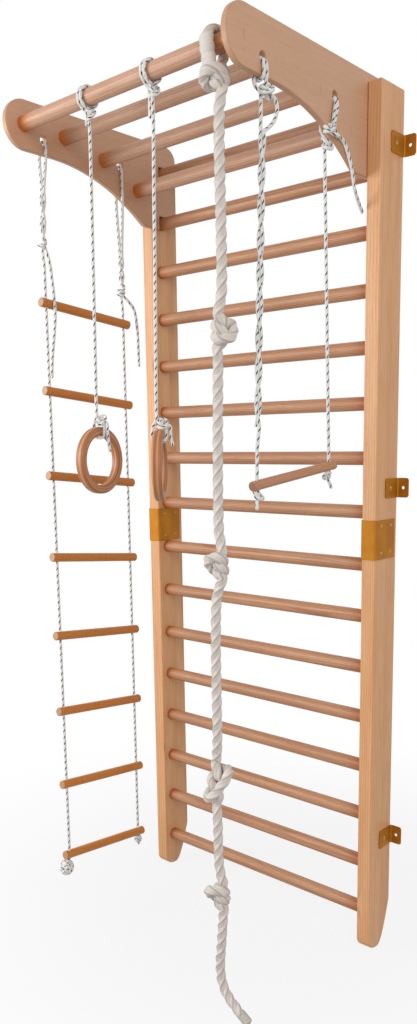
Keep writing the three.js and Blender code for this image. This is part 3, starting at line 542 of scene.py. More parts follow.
# Skins along routes
def across_path(path):
    """Two directions across a path at each of its points, which turn as little as they can."""
    tangents = np.gradient(path, axis=0)
    tangents /= np.linalg.norm(tangents, axis=1)[:, None]
    current = np.cross(tangents[0], (1.0, 0.0, 0.0))
    if np.linalg.norm(current) < 0.3:
        current = np.cross(tangents[0], (0.0, 1.0, 0.0))
    firsts = []
    for tangent in tangents:
        current = current - tangent * current.dot(tangent)
        current = current / np.linalg.norm(current)
        firsts.append(current)
    firsts = np.array(firsts)
    return firsts, np.cross(tangents, firsts)


def link(name, mesh, body, material):
    piece = bpy.data.objects.new(name, mesh)
    bpy.context.scene.collection.objects.link(piece)
    mesh.materials.append(material)
    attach(piece, body)
    return piece


def sweep(name, path, radii, turns, body, material):
    """A skin along a path, with one row of radii per point; turns shifts the lay round the path."""
    count, sides = radii.shape
    firsts, seconds = across_path(path)
    angles = np.linspace(0, 2 * math.pi, sides, endpoint=False)
    out_first = radii * np.cos(angles)
    out_second = radii * np.sin(angles)
    rings = path[:, None] + out_first[..., None] * firsts[:, None] + out_second[..., None] * seconds[:, None]
    along = lengths_along(path) * MM
    faces = []
    lay = []
    for ring in range(count - 1):
        here = ring * sides
        there = here + sides
        for side in range(sides):
            following = (side + 1) % sides
            faces.append((here + side, here + following, there + following, there + side))
            left = side / sides
            right = (side + 1) / sides
            lay.append((left - turns[ring], along[ring], 0))
            lay.append((right - turns[ring], along[ring], 0))
            lay.append((right - turns[ring + 1], along[ring + 1], 0))
            lay.append((left - turns[ring + 1], along[ring + 1], 0))
    for ring, order in ((0, -1), (count - 1, 1)):
        faces.append(tuple(ring * sides + side for side in range(sides))[::order])
        lay.extend((side / sides, along[ring], 0) for side in range(sides))
    mesh = bpy.data.meshes.new(name)
    mesh.from_pydata((rings.reshape(-1, 3) * MM).tolist(), [], faces)
    layer = mesh.attributes.new("lay", "FLOAT_VECTOR", "CORNER")
    layer.data.foreach_set("vector", np.array(lay, np.float32).ravel())
    mesh.shade_smooth()
    return link(name, mesh, body, material)


def cut_end(radii, path, length):
    """Draws the skin in over the last stretch at both ends, as a cut cord is."""
    along = lengths_along(path)
    near = np.minimum(along, along[-1] - along)
    return radii * np.sqrt(np.clip(0.25 + near / length, 0, 1))[:, None]


def dash_turn(path):
    """How far to turn a braid so that half way along it the dashes are on its front right side."""
    firsts, seconds = across_path(path)
    middle = len(path) // 2
    toward = np.array(DASH_SIDE)
    angle = math.atan2(toward @ seconds[middle], toward @ firsts[middle])
    return angle / (2 * math.pi) - 0.875


def cord_piece(name, points, body, nodes):
    """A braided cord along a route, which stands for its CAD nodes."""
    dense = spline(points)
    path = evenly(dense, max(12, round(route_length(dense) / 2.5)))
    radii = cut_end(np.full((len(path), 12), CORD / 2), path, 2.5)
    turns = np.full(len(path), dash_turn(path))
    piece = sweep(name, path, radii, turns, body, BRAID)
    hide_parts(*nodes)
    return piece


def strand_piece(name, points, body):
    """A short stretch of braid that belongs to a cord."""
    dense = spline(points)
    path = evenly(dense, max(90, round(route_length(dense) / 3)))
    radii = cut_end(np.full((len(path), 12), CORD / 2), path, 2.5)
    return sweep(name, path, radii, np.full(len(path), dash_turn(path)), body, BRAID)


def knot_piece(name, place, turn, body, across=1.0, along=1.0):
    """A tight knot of cord round the strands that meet at a place."""
    return strand_piece(name, knot_at(place, CORD, turn, 0, across, along)[8:-8], body)


# Loops of cord through the holes of a panel
CORD_FACE = PANEL_THICKNESS / 2 + CORD / 2 + 1.1
LOOP_CLEAR = STRAND_SPACING / 2 + CORD / 2
PAIR_RADIUS = CORD / 2 + 0.3


def panel_lower_edge(reach):
    along = EDGE_BEND_START - reach
    if along < 0:
        return PANEL_FLAT
    return PANEL_FLAT - EDGE_BEND_RADIUS + math.sqrt(EDGE_BEND_RADIUS ** 2 - along ** 2)


def arch(panel_x, hole, start, end, aside=0.0):
    points = []
    for step in range(9):
        angle = start + (end - start) * step / 8
        z = BAR_Z - hole["drop"] - 20 + 18.5 * math.sin(angle)
        points.append((panel_x + CORD_FACE * math.cos(angle), -hole["reach"] + aside, z))
    return points


def loop_leg(panel_x, side, hole, hang):
    """One leg of a loop; below the place where the legs join they twist round each other once."""
    bottom = hang["knot"] + LOOP_CLEAR - 3
    top = BAR_Z - hole["drop"] - 24
    edge = panel_lower_edge(hole["reach"])
    points = []
    for step in range(25):
        z = bottom + (top - bottom) * step / 24
        spread = smoothstep(z, hang["joined"], edge)
        out = side * (PAIR_RADIUS + (CORD_FACE - PAIR_RADIUS) * spread)
        reach = hang["reach"] + (hole["reach"] - hang["reach"]) * (z - bottom) / (top - bottom)
        angle = 2 * math.pi * max(0, hang["joined"] - z) / (hang["joined"] - bottom)
        points.append((panel_x + out * math.cos(angle), -reach + out * math.sin(angle), z))
    return points


def panel_loop(panel_x, hole, hang):
    rise = loop_leg(panel_x, 1, hole, hang)
    fall = loop_leg(panel_x, -1, hole, hang)[::-1]
    return [*rise, *arch(panel_x, hole, 0, math.pi), *fall]


def double_loop(panel_x, hole, hang):
    """A loop that goes round the rim of the panel twice, with both turns side by side in the hole."""
    edge = panel_lower_edge(hole["reach"])
    bottom = hang["knot"] + LOOP_CLEAR
    half = STRAND_SPACING / 2
    aside = half - 0.3
    hole_y = -hole["reach"]
    hang_y = -hang["reach"]
    under = []
    for step in range(1, 6):
        angle = math.pi * (1 + step / 6)
        y = hole_y + aside * (1 - 2 * smoothstep(step, 0, 6))
        under.append((panel_x + CORD_FACE * math.cos(angle), y, edge + 5.5 * math.sin(angle)))
    route = [
        (panel_x + half, hang_y, bottom),
        (panel_x + half, hang_y, edge - 25),
        (panel_x + 2 * half, hang_y - 2, edge - 10),
        (panel_x + CORD_FACE, hole_y + aside, edge),
        *arch(panel_x, hole, 0, math.pi, aside),
        (panel_x - CORD_FACE, hole_y + aside, edge),
        *under,
        (panel_x + CORD_FACE, hole_y - aside, edge),
        *arch(panel_x, hole, 0, math.pi, -aside),
        (panel_x - CORD_FACE, hole_y - aside, edge),
        (panel_x - CORD_FACE, hole_y - aside, edge - 7),
        (panel_x - 2 * half, hole_y - 2, edge - 16),
        (panel_x - half, hang_y - 2, edge - 25),
        (panel_x - half, hang_y, bottom),
    ]
    return smooth(route, 120)


# Rope ladder
STOPPER_DRAWN = 0.7
STOPPER_REACH = KNOT_REACH * CORD * STOPPER_DRAWN


def stopped_cord(top, middle, turn, size, tail_length, lean):
    """A cord from a bar's hole down through its stopper knot to the end of its leaning tail."""
    x, y, z = middle
    knot = knot_at(middle, CORD, turn, 0, size, STOPPER_DRAWN)
    end = z - STOPPER_REACH
    tail = [(x, y + lean / 2, end - tail_length / 2), (x, y + lean, end - tail_length)]
    return [top, *knot, *tail]


def wrap_round(x, y, top, height, turns):
    """A strand that winds round the strand beside it as it goes down."""
    points = []
    for step in range(round(16 * turns) + 1):
        share = step / (16 * turns)
        angle = 2 * math.pi * turns * share
        radius = CORD + 0.4
        out = (x - PAIR_RADIUS + radius * math.cos(angle), y + radius * math.sin(angle))
        points.append((*out, top - height * share))
    return points


def wound_ball(place, radius, loops):
    """The route of a cord wound round and round into a ball, each loop a little further on."""
    lean = math.radians(58)
    points = []
    for step in range(20 * loops + 1):
        share = step / (20 * loops)
        angle = 2 * math.pi * loops * share
        turn = 2 * math.pi * share
        level = math.sin(angle) * math.cos(lean)
        x = math.cos(angle) * math.cos(turn) - level * math.sin(turn)
        y = math.cos(angle) * math.sin(turn) + level * math.cos(turn)
        z = 1.15 * math.sin(angle) * math.sin(lean)
        points.append(np.array(place) + radius * np.array((x, y, z)))
    return points


def ladder_cords(end, hang, wraps, tail, stopper):
    y = -hang["reach"]
    bar_middle = LADDER_BOTTOM + (hang["reach"] - LADDER_REACH) * LADDER_SLOPE
    bar_bottom = bar_middle - LADDER_RUNG / 2
    top = hang["knot"] + 1
    bend = [
        (LADDER_X - PAIR_RADIUS, y, top),
        (LADDER_X - PAIR_RADIUS, y, hang["knot"] - 20),
        (LADDER_X, y, hang["knot"] - 60),
    ]
    run = straight((LADDER_X, y, hang["knot"] - 80), (LADDER_X, y, bar_bottom + 8), 12)
    hole = (LADDER_X, y, bar_bottom + 2)
    under = (LADDER_X - stopper["aside"], y - stopper["aside"], bar_bottom - stopper["drop"])
    stopped = stopped_cord(hole, under, stopper["turn"], 0.8, CORD, 0)
    main = [*smooth(bend, 8), *run, *stopped]
    join = (LADDER_X, y, hang["knot"] + 3)
    ball = wound_ball(under, stopper["radius"], stopper["loops"])
    knots = [
        knot_piece(f"ladder_{end}.knot", join, 40, "rope_ladder", 0.35, 0.4),
        strand_piece(f"ladder_{end}.stopper", ball, "rope_ladder"),
    ]
    cord_piece(f"ladder_{end}.main", main, "rope_ladder", [f"ladder_cord_{end}"])
    hitch = wrap_round(LADDER_X, y, top, 11 * wraps, wraps)
    free = [(LADDER_X + x, -reach, hang["knot"] - drop) for x, reach, drop in tail]
    route = [*hitch, *smooth([hitch[-1], *free], 24)[1:]]
    cord_piece(f"ladder_{end}.tail", route, "rope_ladder", [f"ladder_cord_{end}"])


FRONT_TAIL = [
    (10, 503, 46),
    (14, 500, 91),
    (18, 498, 147),
    (18, 497, 177),
    (15, 500, 224),
    (11, 506, 284),
    (10, 509, 320),
    (10, 510, 342),
]
REAR_TAIL = [
    (10, 226, 34),
    (12, 206, 54),
    (12, 194, 107),
    (11, 191, 158),
    (11, 190, 214),
]
cord_piece("ladder_front.loop", panel_loop(LADDER_X, FRONT_HOLE, LADDER_FRONT), "frame",
           ["ladder_loop_front"])
cord_piece("ladder_rear.loop", panel_loop(LADDER_X, REAR_HOLE, LADDER_REAR), "frame",
           ["ladder_loop_rear"])
FRONT_STOPPER = {"drop": 28, "aside": 7, "turn": 30, "radius": 17, "loops": 7}
REAR_STOPPER = {"drop": 13, "aside": 0, "turn": 160, "radius": 8, "loops": 4}
ladder_cords("front", LADDER_FRONT, 1, FRONT_TAIL, FRONT_STOPPER)
ladder_cords("rear", LADDER_REAR, 2, REAR_TAIL, REAR_STOPPER)


# Trapeze
def trapeze_stop(hang, turn, size, lean):
    bottom = TRAPEZE_HEIGHT + (hang["hole"] - TRAPEZE_REACH) * TRAPEZE_SLOPE - TRAPEZE_BAR / 2
    over = straight((TRAPEZE_X, -hang["hole"], bottom + 40), (TRAPEZE_X, -hang["hole"], bottom + 8), 3)
    top = (TRAPEZE_X, -hang["hole"], bottom + 2)
    middle = (TRAPEZE_X, -hang["hole"], bottom - STOPPER_REACH)
    return [*over, *stopped_cord(top, middle, turn, size, KNOT_TAIL, lean)]


def twisted_strand(side, low_y, low_z):
    """One strand of the pair that is twisted together below the front hole."""
    hang = TRAPEZE_FRONT
    steps = round(10 * TRAPEZE_TWISTS)
    points = []
    for step in range(steps + 1):
        share = step / steps
        z = hang["joined"] + (TRAPEZE_TAIL_END - hang["joined"]) * share
        y = np.interp(z, (low_z, hang["knot"]), (low_y, -hang["reach"]))
        angle = 2 * math.pi * TRAPEZE_TWISTS * share
        x = TRAPEZE_X + side * PAIR_RADIUS * math.cos(angle)
        points.append((x, y + side * PAIR_RADIUS * math.sin(angle), z))
    return points


def trapeze_front_cords():
    """The cord that carries the bar, and its tail, which bows away before it is twisted round."""
    y = -TRAPEZE_FRONT["reach"]
    z = TRAPEZE_FRONT["knot"]
    stop = trapeze_stop(TRAPEZE_FRONT, 100, 1.0, 0)
    low_y = stop[0][1]
    low_z = stop[0][2]
    knots = [
        knot_piece("trapeze_front.knot", (TRAPEZE_X + 2, y - 3, z + 21), 40, "trapeze", 1.3, 0.95),
        knot_piece("trapeze_front.hitch", (TRAPEZE_X + 4, y + 5, z + 17), 130, "trapeze", 1.2, 0.85),
    ]
    strand = twisted_strand(-1, low_y, low_z)
    above = smooth([(TRAPEZE_X - 5, y, z + 14), (TRAPEZE_X - 5, y, z - 8), strand[0]], 8)
    below = smooth([strand[-1], (TRAPEZE_X, low_y + 2, TRAPEZE_TAIL_END - 40), stop[0]], 6)
    route = [*above[:-1], *strand, *below[1:-1], *stop]
    cord_piece("trapeze_front.main", route, "trapeze", ["trapeze_cord_front"])
    strand = twisted_strand(1, low_y, low_z)
    bow = [
        (TRAPEZE_X + 5, y, z + 22),
        (TRAPEZE_X + 6, y + 14, z + 16),
        (TRAPEZE_X + 8, y + 32, z + 8),
        (TRAPEZE_X + 8, y + 38, z - 8),
        (TRAPEZE_X + 7, y + 28, z - 34),
        strand[0],
    ]
    route = [*smooth(bow, 18)[:-1], *strand]
    cord_piece("trapeze_front.tail", route, "trapeze", ["trapeze_cord_front"])


def trapeze_rear_cord():
    hang = TRAPEZE_REAR
    stop = trapeze_stop(hang, 250, 0.8, 12)
    top = (TRAPEZE_X, -hang["reach"], hang["knot"] + LOOP_CLEAR - 1)
    place = (TRAPEZE_X, -hang["reach"], hang["knot"] + 5)
    knot = knot_piece("trapeze_rear.knot", place, 70, "trapeze", 1.15, 1.2)
    route = [*straight(top, stop[0], 10), *stop[1:]]
    cord_piece("trapeze_rear.main", route, "trapeze", ["trapeze_cord_rear"])


TRAPEZE_TAIL = [
    (13, 247, 116),
    (13.5, 252, 134),
    (14, 247, 147),
    (15, 232, 151),
    (15, 214, 158),
    (15, 194, 182),
    (14, 176, 214),
    (10, 160, 245),
    (2, 128, 270),
    (-4, 100, 288),
]


def trapeze_rear_loop():
    hang = TRAPEZE_REAR
    hole = REAR_HOLE
    low = hang["knot"] + LOOP_CLEAR
    edge = panel_lower_edge(hang["reach"] - 6)
    rise = [
        (TRAPEZE_X, -hang["reach"], low),
        (TRAPEZE_X, -hang["reach"], low + CORD),
        (TRAPEZE_X - CORD_FACE + 1, -hang["reach"] + 3, edge - 1),
        (TRAPEZE_X - CORD_FACE, -hang["reach"] + 7, edge + 24),
        (TRAPEZE_X - CORD_FACE, -hole["reach"], BAR_Z - hole["drop"] - 24),
    ]
    tail = [(TRAPEZE_X + x, -reach, HEIGHT - drop) for x, reach, drop in TRAPEZE_TAIL]
    fall = [(TRAPEZE_X + CORD_FACE, -hole["reach"], BAR_Z - hole["drop"] - 28), *tail]
    return [*smooth(rise, 10)[:-1], *arch(TRAPEZE_X, hole, math.pi, 0), *smooth(fall, 24)]


cord_piece("trapeze_front.loop", double_loop(TRAPEZE_X, FRONT_HOLE, TRAPEZE_FRONT), "frame",
           ["trapeze_loop_front"])
rim_y = -TRAPEZE_REAR["reach"]
rim_z = TRAPEZE_REAR["knot"] + 32
second_strand = [
    (TRAPEZE_X + 3, -REAR_HOLE["reach"] - 6, BAR_Z - REAR_HOLE["drop"] - 2),
    (TRAPEZE_X + CORD_FACE, -REAR_HOLE["reach"] - 8, BAR_Z - REAR_HOLE["drop"] - 14),
    (TRAPEZE_X + CORD_FACE + 1, -REAR_HOLE["reach"] - 14, BAR_Z - REAR_HOLE["drop"] - 40),
    (TRAPEZE_X + CORD_FACE, rim_y + 10, rim_z),
]
rim_knots = [
    strand_piece("trapeze_rear.rim_strand", second_strand, "frame"),
    knot_piece("trapeze_rear.rim_knot", (TRAPEZE_X + 11, rim_y + 14, rim_z), 110, "frame", 1.4, 0.9),
    knot_piece("trapeze_rear.rim_hitch", (TRAPEZE_X + 6, rim_y - 4, rim_z + 2), 20, "frame", 1.2, 0.9),
]
cord_piece("trapeze_rear.loop", trapeze_rear_loop(), "frame", ["trapeze_loop_rear"])
trapeze_front_cords()
trapeze_rear_cord()


# Cords of the rings
def ring_cord(ring):
    radius = TOP_BAR_DIAMETER / 2 + CORD / 2 + 0.4
    below = BAR_Z - radius
    half = STRAND_SPACING / 2
    x = ring["x"]
    winding = []
    for step in range(2, 47):
        angle = 4 * math.pi * step / 48
        along = x + WINDING_PITCH * (step / 24 - 1)
        winding.append((along, BAR_Y - radius * math.sin(angle), BAR_Z - radius * math.cos(angle)))
    start = [
        (x - half, BAR_Y, below - 26 - ring["tail"]),
        (x - half, BAR_Y, below - 26 - ring["tail"] + CORD),
        (x - half, BAR_Y, below - 18),
        (x - 7, BAR_Y - 3, below - 7),
        winding[0],
    ]
    facing = math.radians(ring["facing"])
    section = BAR_Z - ring["drop"] + RING_OUTER / 2 - RING_SECTION / 2
    side = RING_THICKNESS / 2 + CORD / 2 + 0.8
    top = RING_SECTION / 2
    turn = RING_ROUND + CORD / 2 + 0.5
    under = -RING_SECTION / 2 - CORD / 2 - 0.8
    bend = turn * (1 - math.sqrt(0.5))
    around = [
        (-half, top + 40),
        (-half, top + 26),
        (-side + 3, top + 8),
        (-side, top - RING_ROUND - 3),
        (-side, under + turn),
        (-side + bend, under + bend),
        (-side + turn, under),
        (side - turn, under),
        (side - bend, under + bend),
        (side, under + turn),
        (side, top - 3),
        *[(side + half + across, top + 6 + up) for across, up in arc((0, 0), half, math.pi, 0, 4)],
        (side + 2 * half, top - 4),
        (side + 2 * half + 1, top - 20),
        (side + 2 * half + 6, top - ring["end"]),
    ]
    turned = [
        (x + along * math.cos(facing), BAR_Y + along * math.sin(facing), section + rise)
        for along, rise in around
    ]
    drop = [
        winding[-1],
        (x + 7, BAR_Y + 3, below - 7),
        (x + half, BAR_Y, below - 18),
        (x + half, BAR_Y, below - 60),
    ]
    return [
        *smooth(start, 8)[:-1],
        *winding,
        *smooth(drop, 6)[1:],
        *straight(drop[-1], turned[0], 4)[1:-1],
        *smooth(turned, 40),
    ]


for name, ring in RINGS.items():
    below = BAR_Z - TOP_BAR_DIAMETER / 2 - CORD
    ring_top = BAR_Z - ring["drop"] + RING_OUTER / 2
    upper = knot_piece(f"{name}.bar_knot", (ring["x"], BAR_Y, below - 13), ring["facing"], name)
    over_ring = (ring["x"], BAR_Y, ring_top + 15)
    lower = knot_piece(f"{name}.ring_knot", over_ring, ring["facing"], name, 1.1, 0.95)
    cord_piece(f"{name}.cord", ring_cord(ring), name, [f"{name}_cord"])


# Climbing rope: three strands laid together, an eye over the front bar and a whipped end
EYE_RADIUS = TOP_BAR_DIAMETER / 2 + EYE_FLATNESS * ROPE / 2 + 0.6


def eye_point(degrees):
    """A place on the eye, turned from straight behind the bar over its top to the front."""
    angle = math.radians(degrees)
    return (ROPE_X, BAR_Y + EYE_RADIUS * math.cos(angle), BAR_Z + EYE_RADIUS * math.sin(angle))


def rope_knot(x, z, turn, across, along):
    return knot_at((x, BAR_Y, z), ROPE, turn, 0.5, across, along)


def rope_route():
    reach = KNOT_REACH * ROPE
    points = [eye_point(degrees) for degrees in range(180, -19, -11)]
    points.append((ROPE_X, BAR_Y + EYE_RADIUS - 9, BAR_Z - EYE_RADIUS + 2))
    points.extend(rope_knot(*ROPE_KNOTS[0]))
    last = points[-1]
    for x, z, turn, across, along in ROPE_KNOTS[1:]:
        knot = rope_knot(x, z, turn, across, along)
        run = [
            last,
            (last[0] + (x - last[0]) * 0.6, BAR_Y, last[2] - reach * 0.8),
            (last[0] + (x - last[0]) * 0.9, BAR_Y, knot[0][2] + reach * 0.8),
            knot[0],
        ]
        points.extend([*smooth(run, 10)[1:-1], *knot])
        last = points[-1]
    end = [(x, BAR_Y, z) for x, z in ROPE_END]
    points.extend(smooth([last, *end], 14)[1:])
    return points


def flattened(radii, shares, thickness, width):
    """Radii pressed flat towards the bar by each point's share."""
    angles = np.linspace(0, 2 * math.pi, radii.shape[1], endpoint=False)[None]
    oval = 1 / np.sqrt((np.cos(angles) / thickness) ** 2 + (np.sin(angles) / width) ** 2)
    return radii * (1 + shares[:, None] * (oval - 1))


def three_strands(path, sides):
    """Radii of three strands laid together, and how far the lay has turned at each point."""
    strand = 0.306 * ROPE
    offset = ROPE / 2 - strand
    turns = lengths_along(path) / ROPE_LAY
    angles = np.linspace(0, 2 * math.pi, sides, endpoint=False)[None] - 2 * math.pi * turns[:, None]
    from_strand = (angles + math.pi / 3) % (2 * math.pi / 3) - math.pi / 3
    radii = offset * np.cos(from_strand) + np.sqrt(strand ** 2 - (offset * np.sin(from_strand)) ** 2)
    return radii, turns


def climbing_rope():
    dense = spline(rope_route())
    path = evenly(dense, round(route_length(dense) / 3.5))
    radii, turns = three_strands(path, 36)
    on_bar = np.array([smoothstep(z, BAR_Z - 45, BAR_Z - 15) for z in path[:, 2]])
    radii = flattened(radii, on_bar, EYE_FLATNESS, 1.15)
    rope = sweep("climbing_rope.strands", path, radii, turns, "climbing_rope", COTTON)
    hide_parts("climbing_rope")
    sleeve_route = [eye_point(degrees) for degrees in (158, 172, 186, 200)]
    sleeve_route.append((ROPE_X, BAR_Y - 20, ROPE_TOP_KNOT + 52))
    sleeve_route.append((ROPE_X, BAR_Y - 16, ROPE_TOP_KNOT + 34))
    sleeve_path = evenly(spline(sleeve_route), 60)
    folds = [1 + 0.05 * math.sin(step * 0.4) + 0.03 * math.sin(step * 1.3) for step in range(61)]
    sleeve_radii = np.outer(folds, np.full(28, 1.0))
    sleeve_radii = flattened(sleeve_radii, np.ones(61), EYE_THICKNESS / 2, EYE_WIDTH / 2)
    sleeve_radii = cut_end(sleeve_radii, sleeve_path, 4)
    sleeve = sweep("climbing_rope.eye", sleeve_path, sleeve_radii, np.zeros(61), "climbing_rope",
                   TAPE)
    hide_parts("climbing_rope_eye")
    way = (path[-1] - path[-2]) / np.linalg.norm(path[-1] - path[-2])
    whipping_path = straight(path[-1] - way * 6, path[-1] + way * WHIPPING_LENGTH, 48)
    whipping_radii = cut_end(np.full((49, 28), ROPE / 2 - 0.4), whipping_path, 4)
    whipping = sweep("climbing_rope.whipping", whipping_path, whipping_radii, np.zeros(49),
                     "climbing_rope", TWINE)
    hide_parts("climbing_rope_whipping")


climbing_rope()


# Timber: the grain attribute is a vertex's place in its board, along the grain, across and deep
def wood_material(name, pale, rich, ring_gap, rings, stave=0.0, ply=0.0, knots=False, end_grain_and_shade_colour=None):
    """Growth rings, fibres and pores; staves are glued side by side and plies lie on each other."""
    roughness = 0.46
    shader = Shader(name, roughness)
    along, across, deep = shader.parts(shader.attribute("grain"))
    board_tone = 0.0
    if stave:
        board = shader.math("FLOOR", shader.math("MULTIPLY", deep, 1 / stave))
        wave = shader.math("SINE", shader.math("MULTIPLY", board, 12.9898))
        board_tone = shader.math("FRACT", shader.math("MULTIPLY", wave, 43.75))
        across = shader.math("ADD", across, shader.math("MULTIPLY", board_tone, 0.09))
        along = shader.math("ADD", along, shader.math("MULTIPLY", board_tone, 5.0))
    log = shader.vector(along, across, deep)
    slow = shader.scaled(log, 1.6, 11.0, 11.0)
    warp = shader.math("MULTIPLY", shader.noise(slow, 1.0, 2.0), 0.016)
    squares = shader.math("ADD", shader.math("MULTIPLY", across, across), shader.math("MULTIPLY", deep, deep))
    from_pith = shader.math("ADD", shader.math("SQRT", squares), warp)
    if knots:
        spots = shader.tree.nodes.new("ShaderNodeTexVoronoi")
        shader.put(shader.scaled(log, 2.3, 9.0, 9.0), spots.inputs["Vector"])
        spots.inputs["Scale"].default_value = 1.0
        spot = spots.outputs["Distance"]
        from_pith = shader.math("ADD", from_pith, shader.step(spot, 0.0, 0.22, 0.012, 0.0))
    ring = shader.math("FRACT", shader.math("MULTIPLY", from_pith, 1 / ring_gap))
    late = shader.math("MULTIPLY", shader.step(ring, 0.25, 0.85), shader.step(ring, 0.9, 1.0, 1.0, 0.0))
    fibre = shader.noise(shader.scaled(log, 16.0, 700.0, 700.0), 1.0, 3.0, 0.6)
    pore = shader.step(shader.noise(shader.scaled(log, 90.0, 1500.0, 1500.0), 1.0, 1.0), 0.62, 0.72)
    share = shader.math("MULTIPLY", late, rings)
    share = shader.math("ADD", share, shader.math("MULTIPLY", shader.step(fibre, 0.35, 0.75), 0.35))
    share = shader.math("ADD", share, shader.step(shader.noise(slow, 2.2, 3.0), 0.35, 0.75, 0.0, 0.3))
    if stave:
        share = shader.math("ADD", share, shader.math("MULTIPLY", board_tone, 0.3))
    colour = shader.mix(share, pale, rich)
    dark = tuple(0.55 * value for value in rich[:3]) + (1.0,)
    colour = shader.mix(shader.math("MULTIPLY", pore, 0.35), colour, dark)
    # End colour: end grain on cut ends, and painted shade and orange bounce light where a tenon meets a post
    # or panel
    if end_grain_and_shade_colour:
        end_grain_and_shade = shader.parts(shader.attribute("end_grain_and_shade"))[0]
        colour = shader.mix(shader.math("MULTIPLY", end_grain_and_shade, 0.9), colour, end_grain_and_shade_colour)
    if ply:
        level = shader.math("ADD", shader.math("MULTIPLY", deep, 1 / ply), 0.5)
        glue = shader.step(shader.math("PINGPONG", level, 0.5), 0.03, 0.12, 0.45, 0.0)
        crosswise = shader.math("LESS_THAN", shader.math("FLOORED_MODULO", level, 2.0), 1.0)
        colour = shader.mix(shader.math("MULTIPLY", crosswise, 0.4), colour, rich)
        colour = shader.mix(glue, colour, dark)
    if knots:
        colour = shader.mix(shader.step(spot, 0.035, 0.075, 0.75, 0.0), colour, dark)
    shader.set("Base Color", colour)
    shader.set("Roughness", shader.step(fibre, 0.2, 0.8, roughness - 0.06, roughness + 0.08))
    relief = shader.math("ADD", fibre, shader.math("MULTIPLY", pore, -0.8))
    shader.bump(relief, 0.25, 0.0004)
    return shader.material


def steel_material():
    shader = Shader("plated_steel", 0.36)
    place = shader.attribute("grain")
    cloud = shader.noise(place, 26.0, 4.0)
    brushed = shader.noise(shader.scaled(place, 2500.0, 60.0, 60.0), 1.0, 2.0)
    shader.set("Base Color", shader.mix(shader.step(cloud, 0.3, 0.7), srgb(164, 102, 10), srgb(182, 120, 24)))
    shader.set("Metallic", 0.6)
    shader.set("Roughness", shader.step(cloud, 0.2, 0.8, 0.54, 0.66))
    shader.bump(brushed, 0.08, 0.0002)
    return shader.material


def screw_material():
    shader = Shader("screw_steel", 0.32)
    place = shader.attribute("grain")
    cloud = shader.noise(place, 300.0, 3.0)
    shader.set("Base Color", shader.mix(cloud, srgb(140, 104, 52), srgb(204, 166, 100)))
    shader.set("Metallic", 0.9)
    shader.bump(cloud, 0.1, 0.0003)
    return shader.material


# The end colours of PINE and TOP_PINE are painted shade and orange bounce light where the rods meet posts and
# panels; those of BEECH and BAR_WOOD are their end grain
PINE = wood_material("pine", srgb(198, 148, 110), srgb(156, 100, 64), 0.0042, 0.45,
                     end_grain_and_shade_colour=srgb(170, 100, 52))
TOP_PINE = wood_material("top_pine", srgb(208, 164, 134), srgb(174, 126, 96), 0.0042, 0.45,
                         end_grain_and_shade_colour=srgb(206, 112, 18))
POST_PINE = wood_material("post_pine", srgb(232, 182, 136), srgb(204, 142, 88), 0.0055, 0.4,
                          stave=0.026, knots=True)
PLYWOOD = wood_material("plywood", srgb(207, 161, 128), srgb(192, 145, 110), 0.016, 0.1, ply=0.0028)
BEECH = wood_material("beech", srgb(210, 132, 50), srgb(176, 96, 28), 0.0035, 0.4,
                      end_grain_and_shade_colour=srgb(172, 142, 114))
BAR_WOOD = wood_material("bar_wood", srgb(196, 138, 98), srgb(160, 104, 70), 0.004, 0.35,
                         end_grain_and_shade_colour=srgb(132, 88, 60))
RING_WOOD = wood_material("ring_wood", srgb(214, 152, 104), srgb(140, 78, 38), 0.006, 0.5, ply=0.006)
# Darker wood for the marks on the panels: painted shade on one side of each bar end's bulge
PAINTED_SHADE_MARK = wood_material("bar_end_painted_shade", srgb(166, 120, 92), srgb(140, 98, 74), 0.01, 0.2)
STEEL = steel_material()
SCREW = screw_material()


def set_grain(mesh, origin, along, across, deep, shift):
    places = np.zeros(len(mesh.vertices) * 3)
    mesh.vertices.foreach_get("co", places)
    places = places.reshape(-1, 3) - np.array(origin) * MM
    grain = places @ np.array([along, across, deep], float).T + np.array(shift)
    layer = mesh.attributes.new("grain", "FLOAT_VECTOR", "POINT")
    layer.data.foreach_set("vector", grain.astype(np.float32).ravel())


def timber_shift(near, far):
    """A place in a log: somewhere along it, and some way from its pith."""
    angle = chance.uniform(0, 2 * math.pi)
    distance = chance.uniform(near, far)
    return (chance.uniform(0, 9), distance * math.cos(angle), distance * math.sin(angle))


def shade_by_area(piece):
    piece.data.shade_smooth()
    piece.data.set_sharp_from_angle(angle=math.radians(38))
    weighted = piece.modifiers.new("weighted_normals", "WEIGHTED_NORMAL")
    weighted.keep_sharp = True


# Round timber; the painted shade and bounce light by a tenon, darker and more orange where a rod meets a post
# or panel, fades over these distances
PAINTED_SHADE_STEPS = {0: 1.0, 18: 0.8, 34: 0.4, 52: 0.12, 75: 0.0}


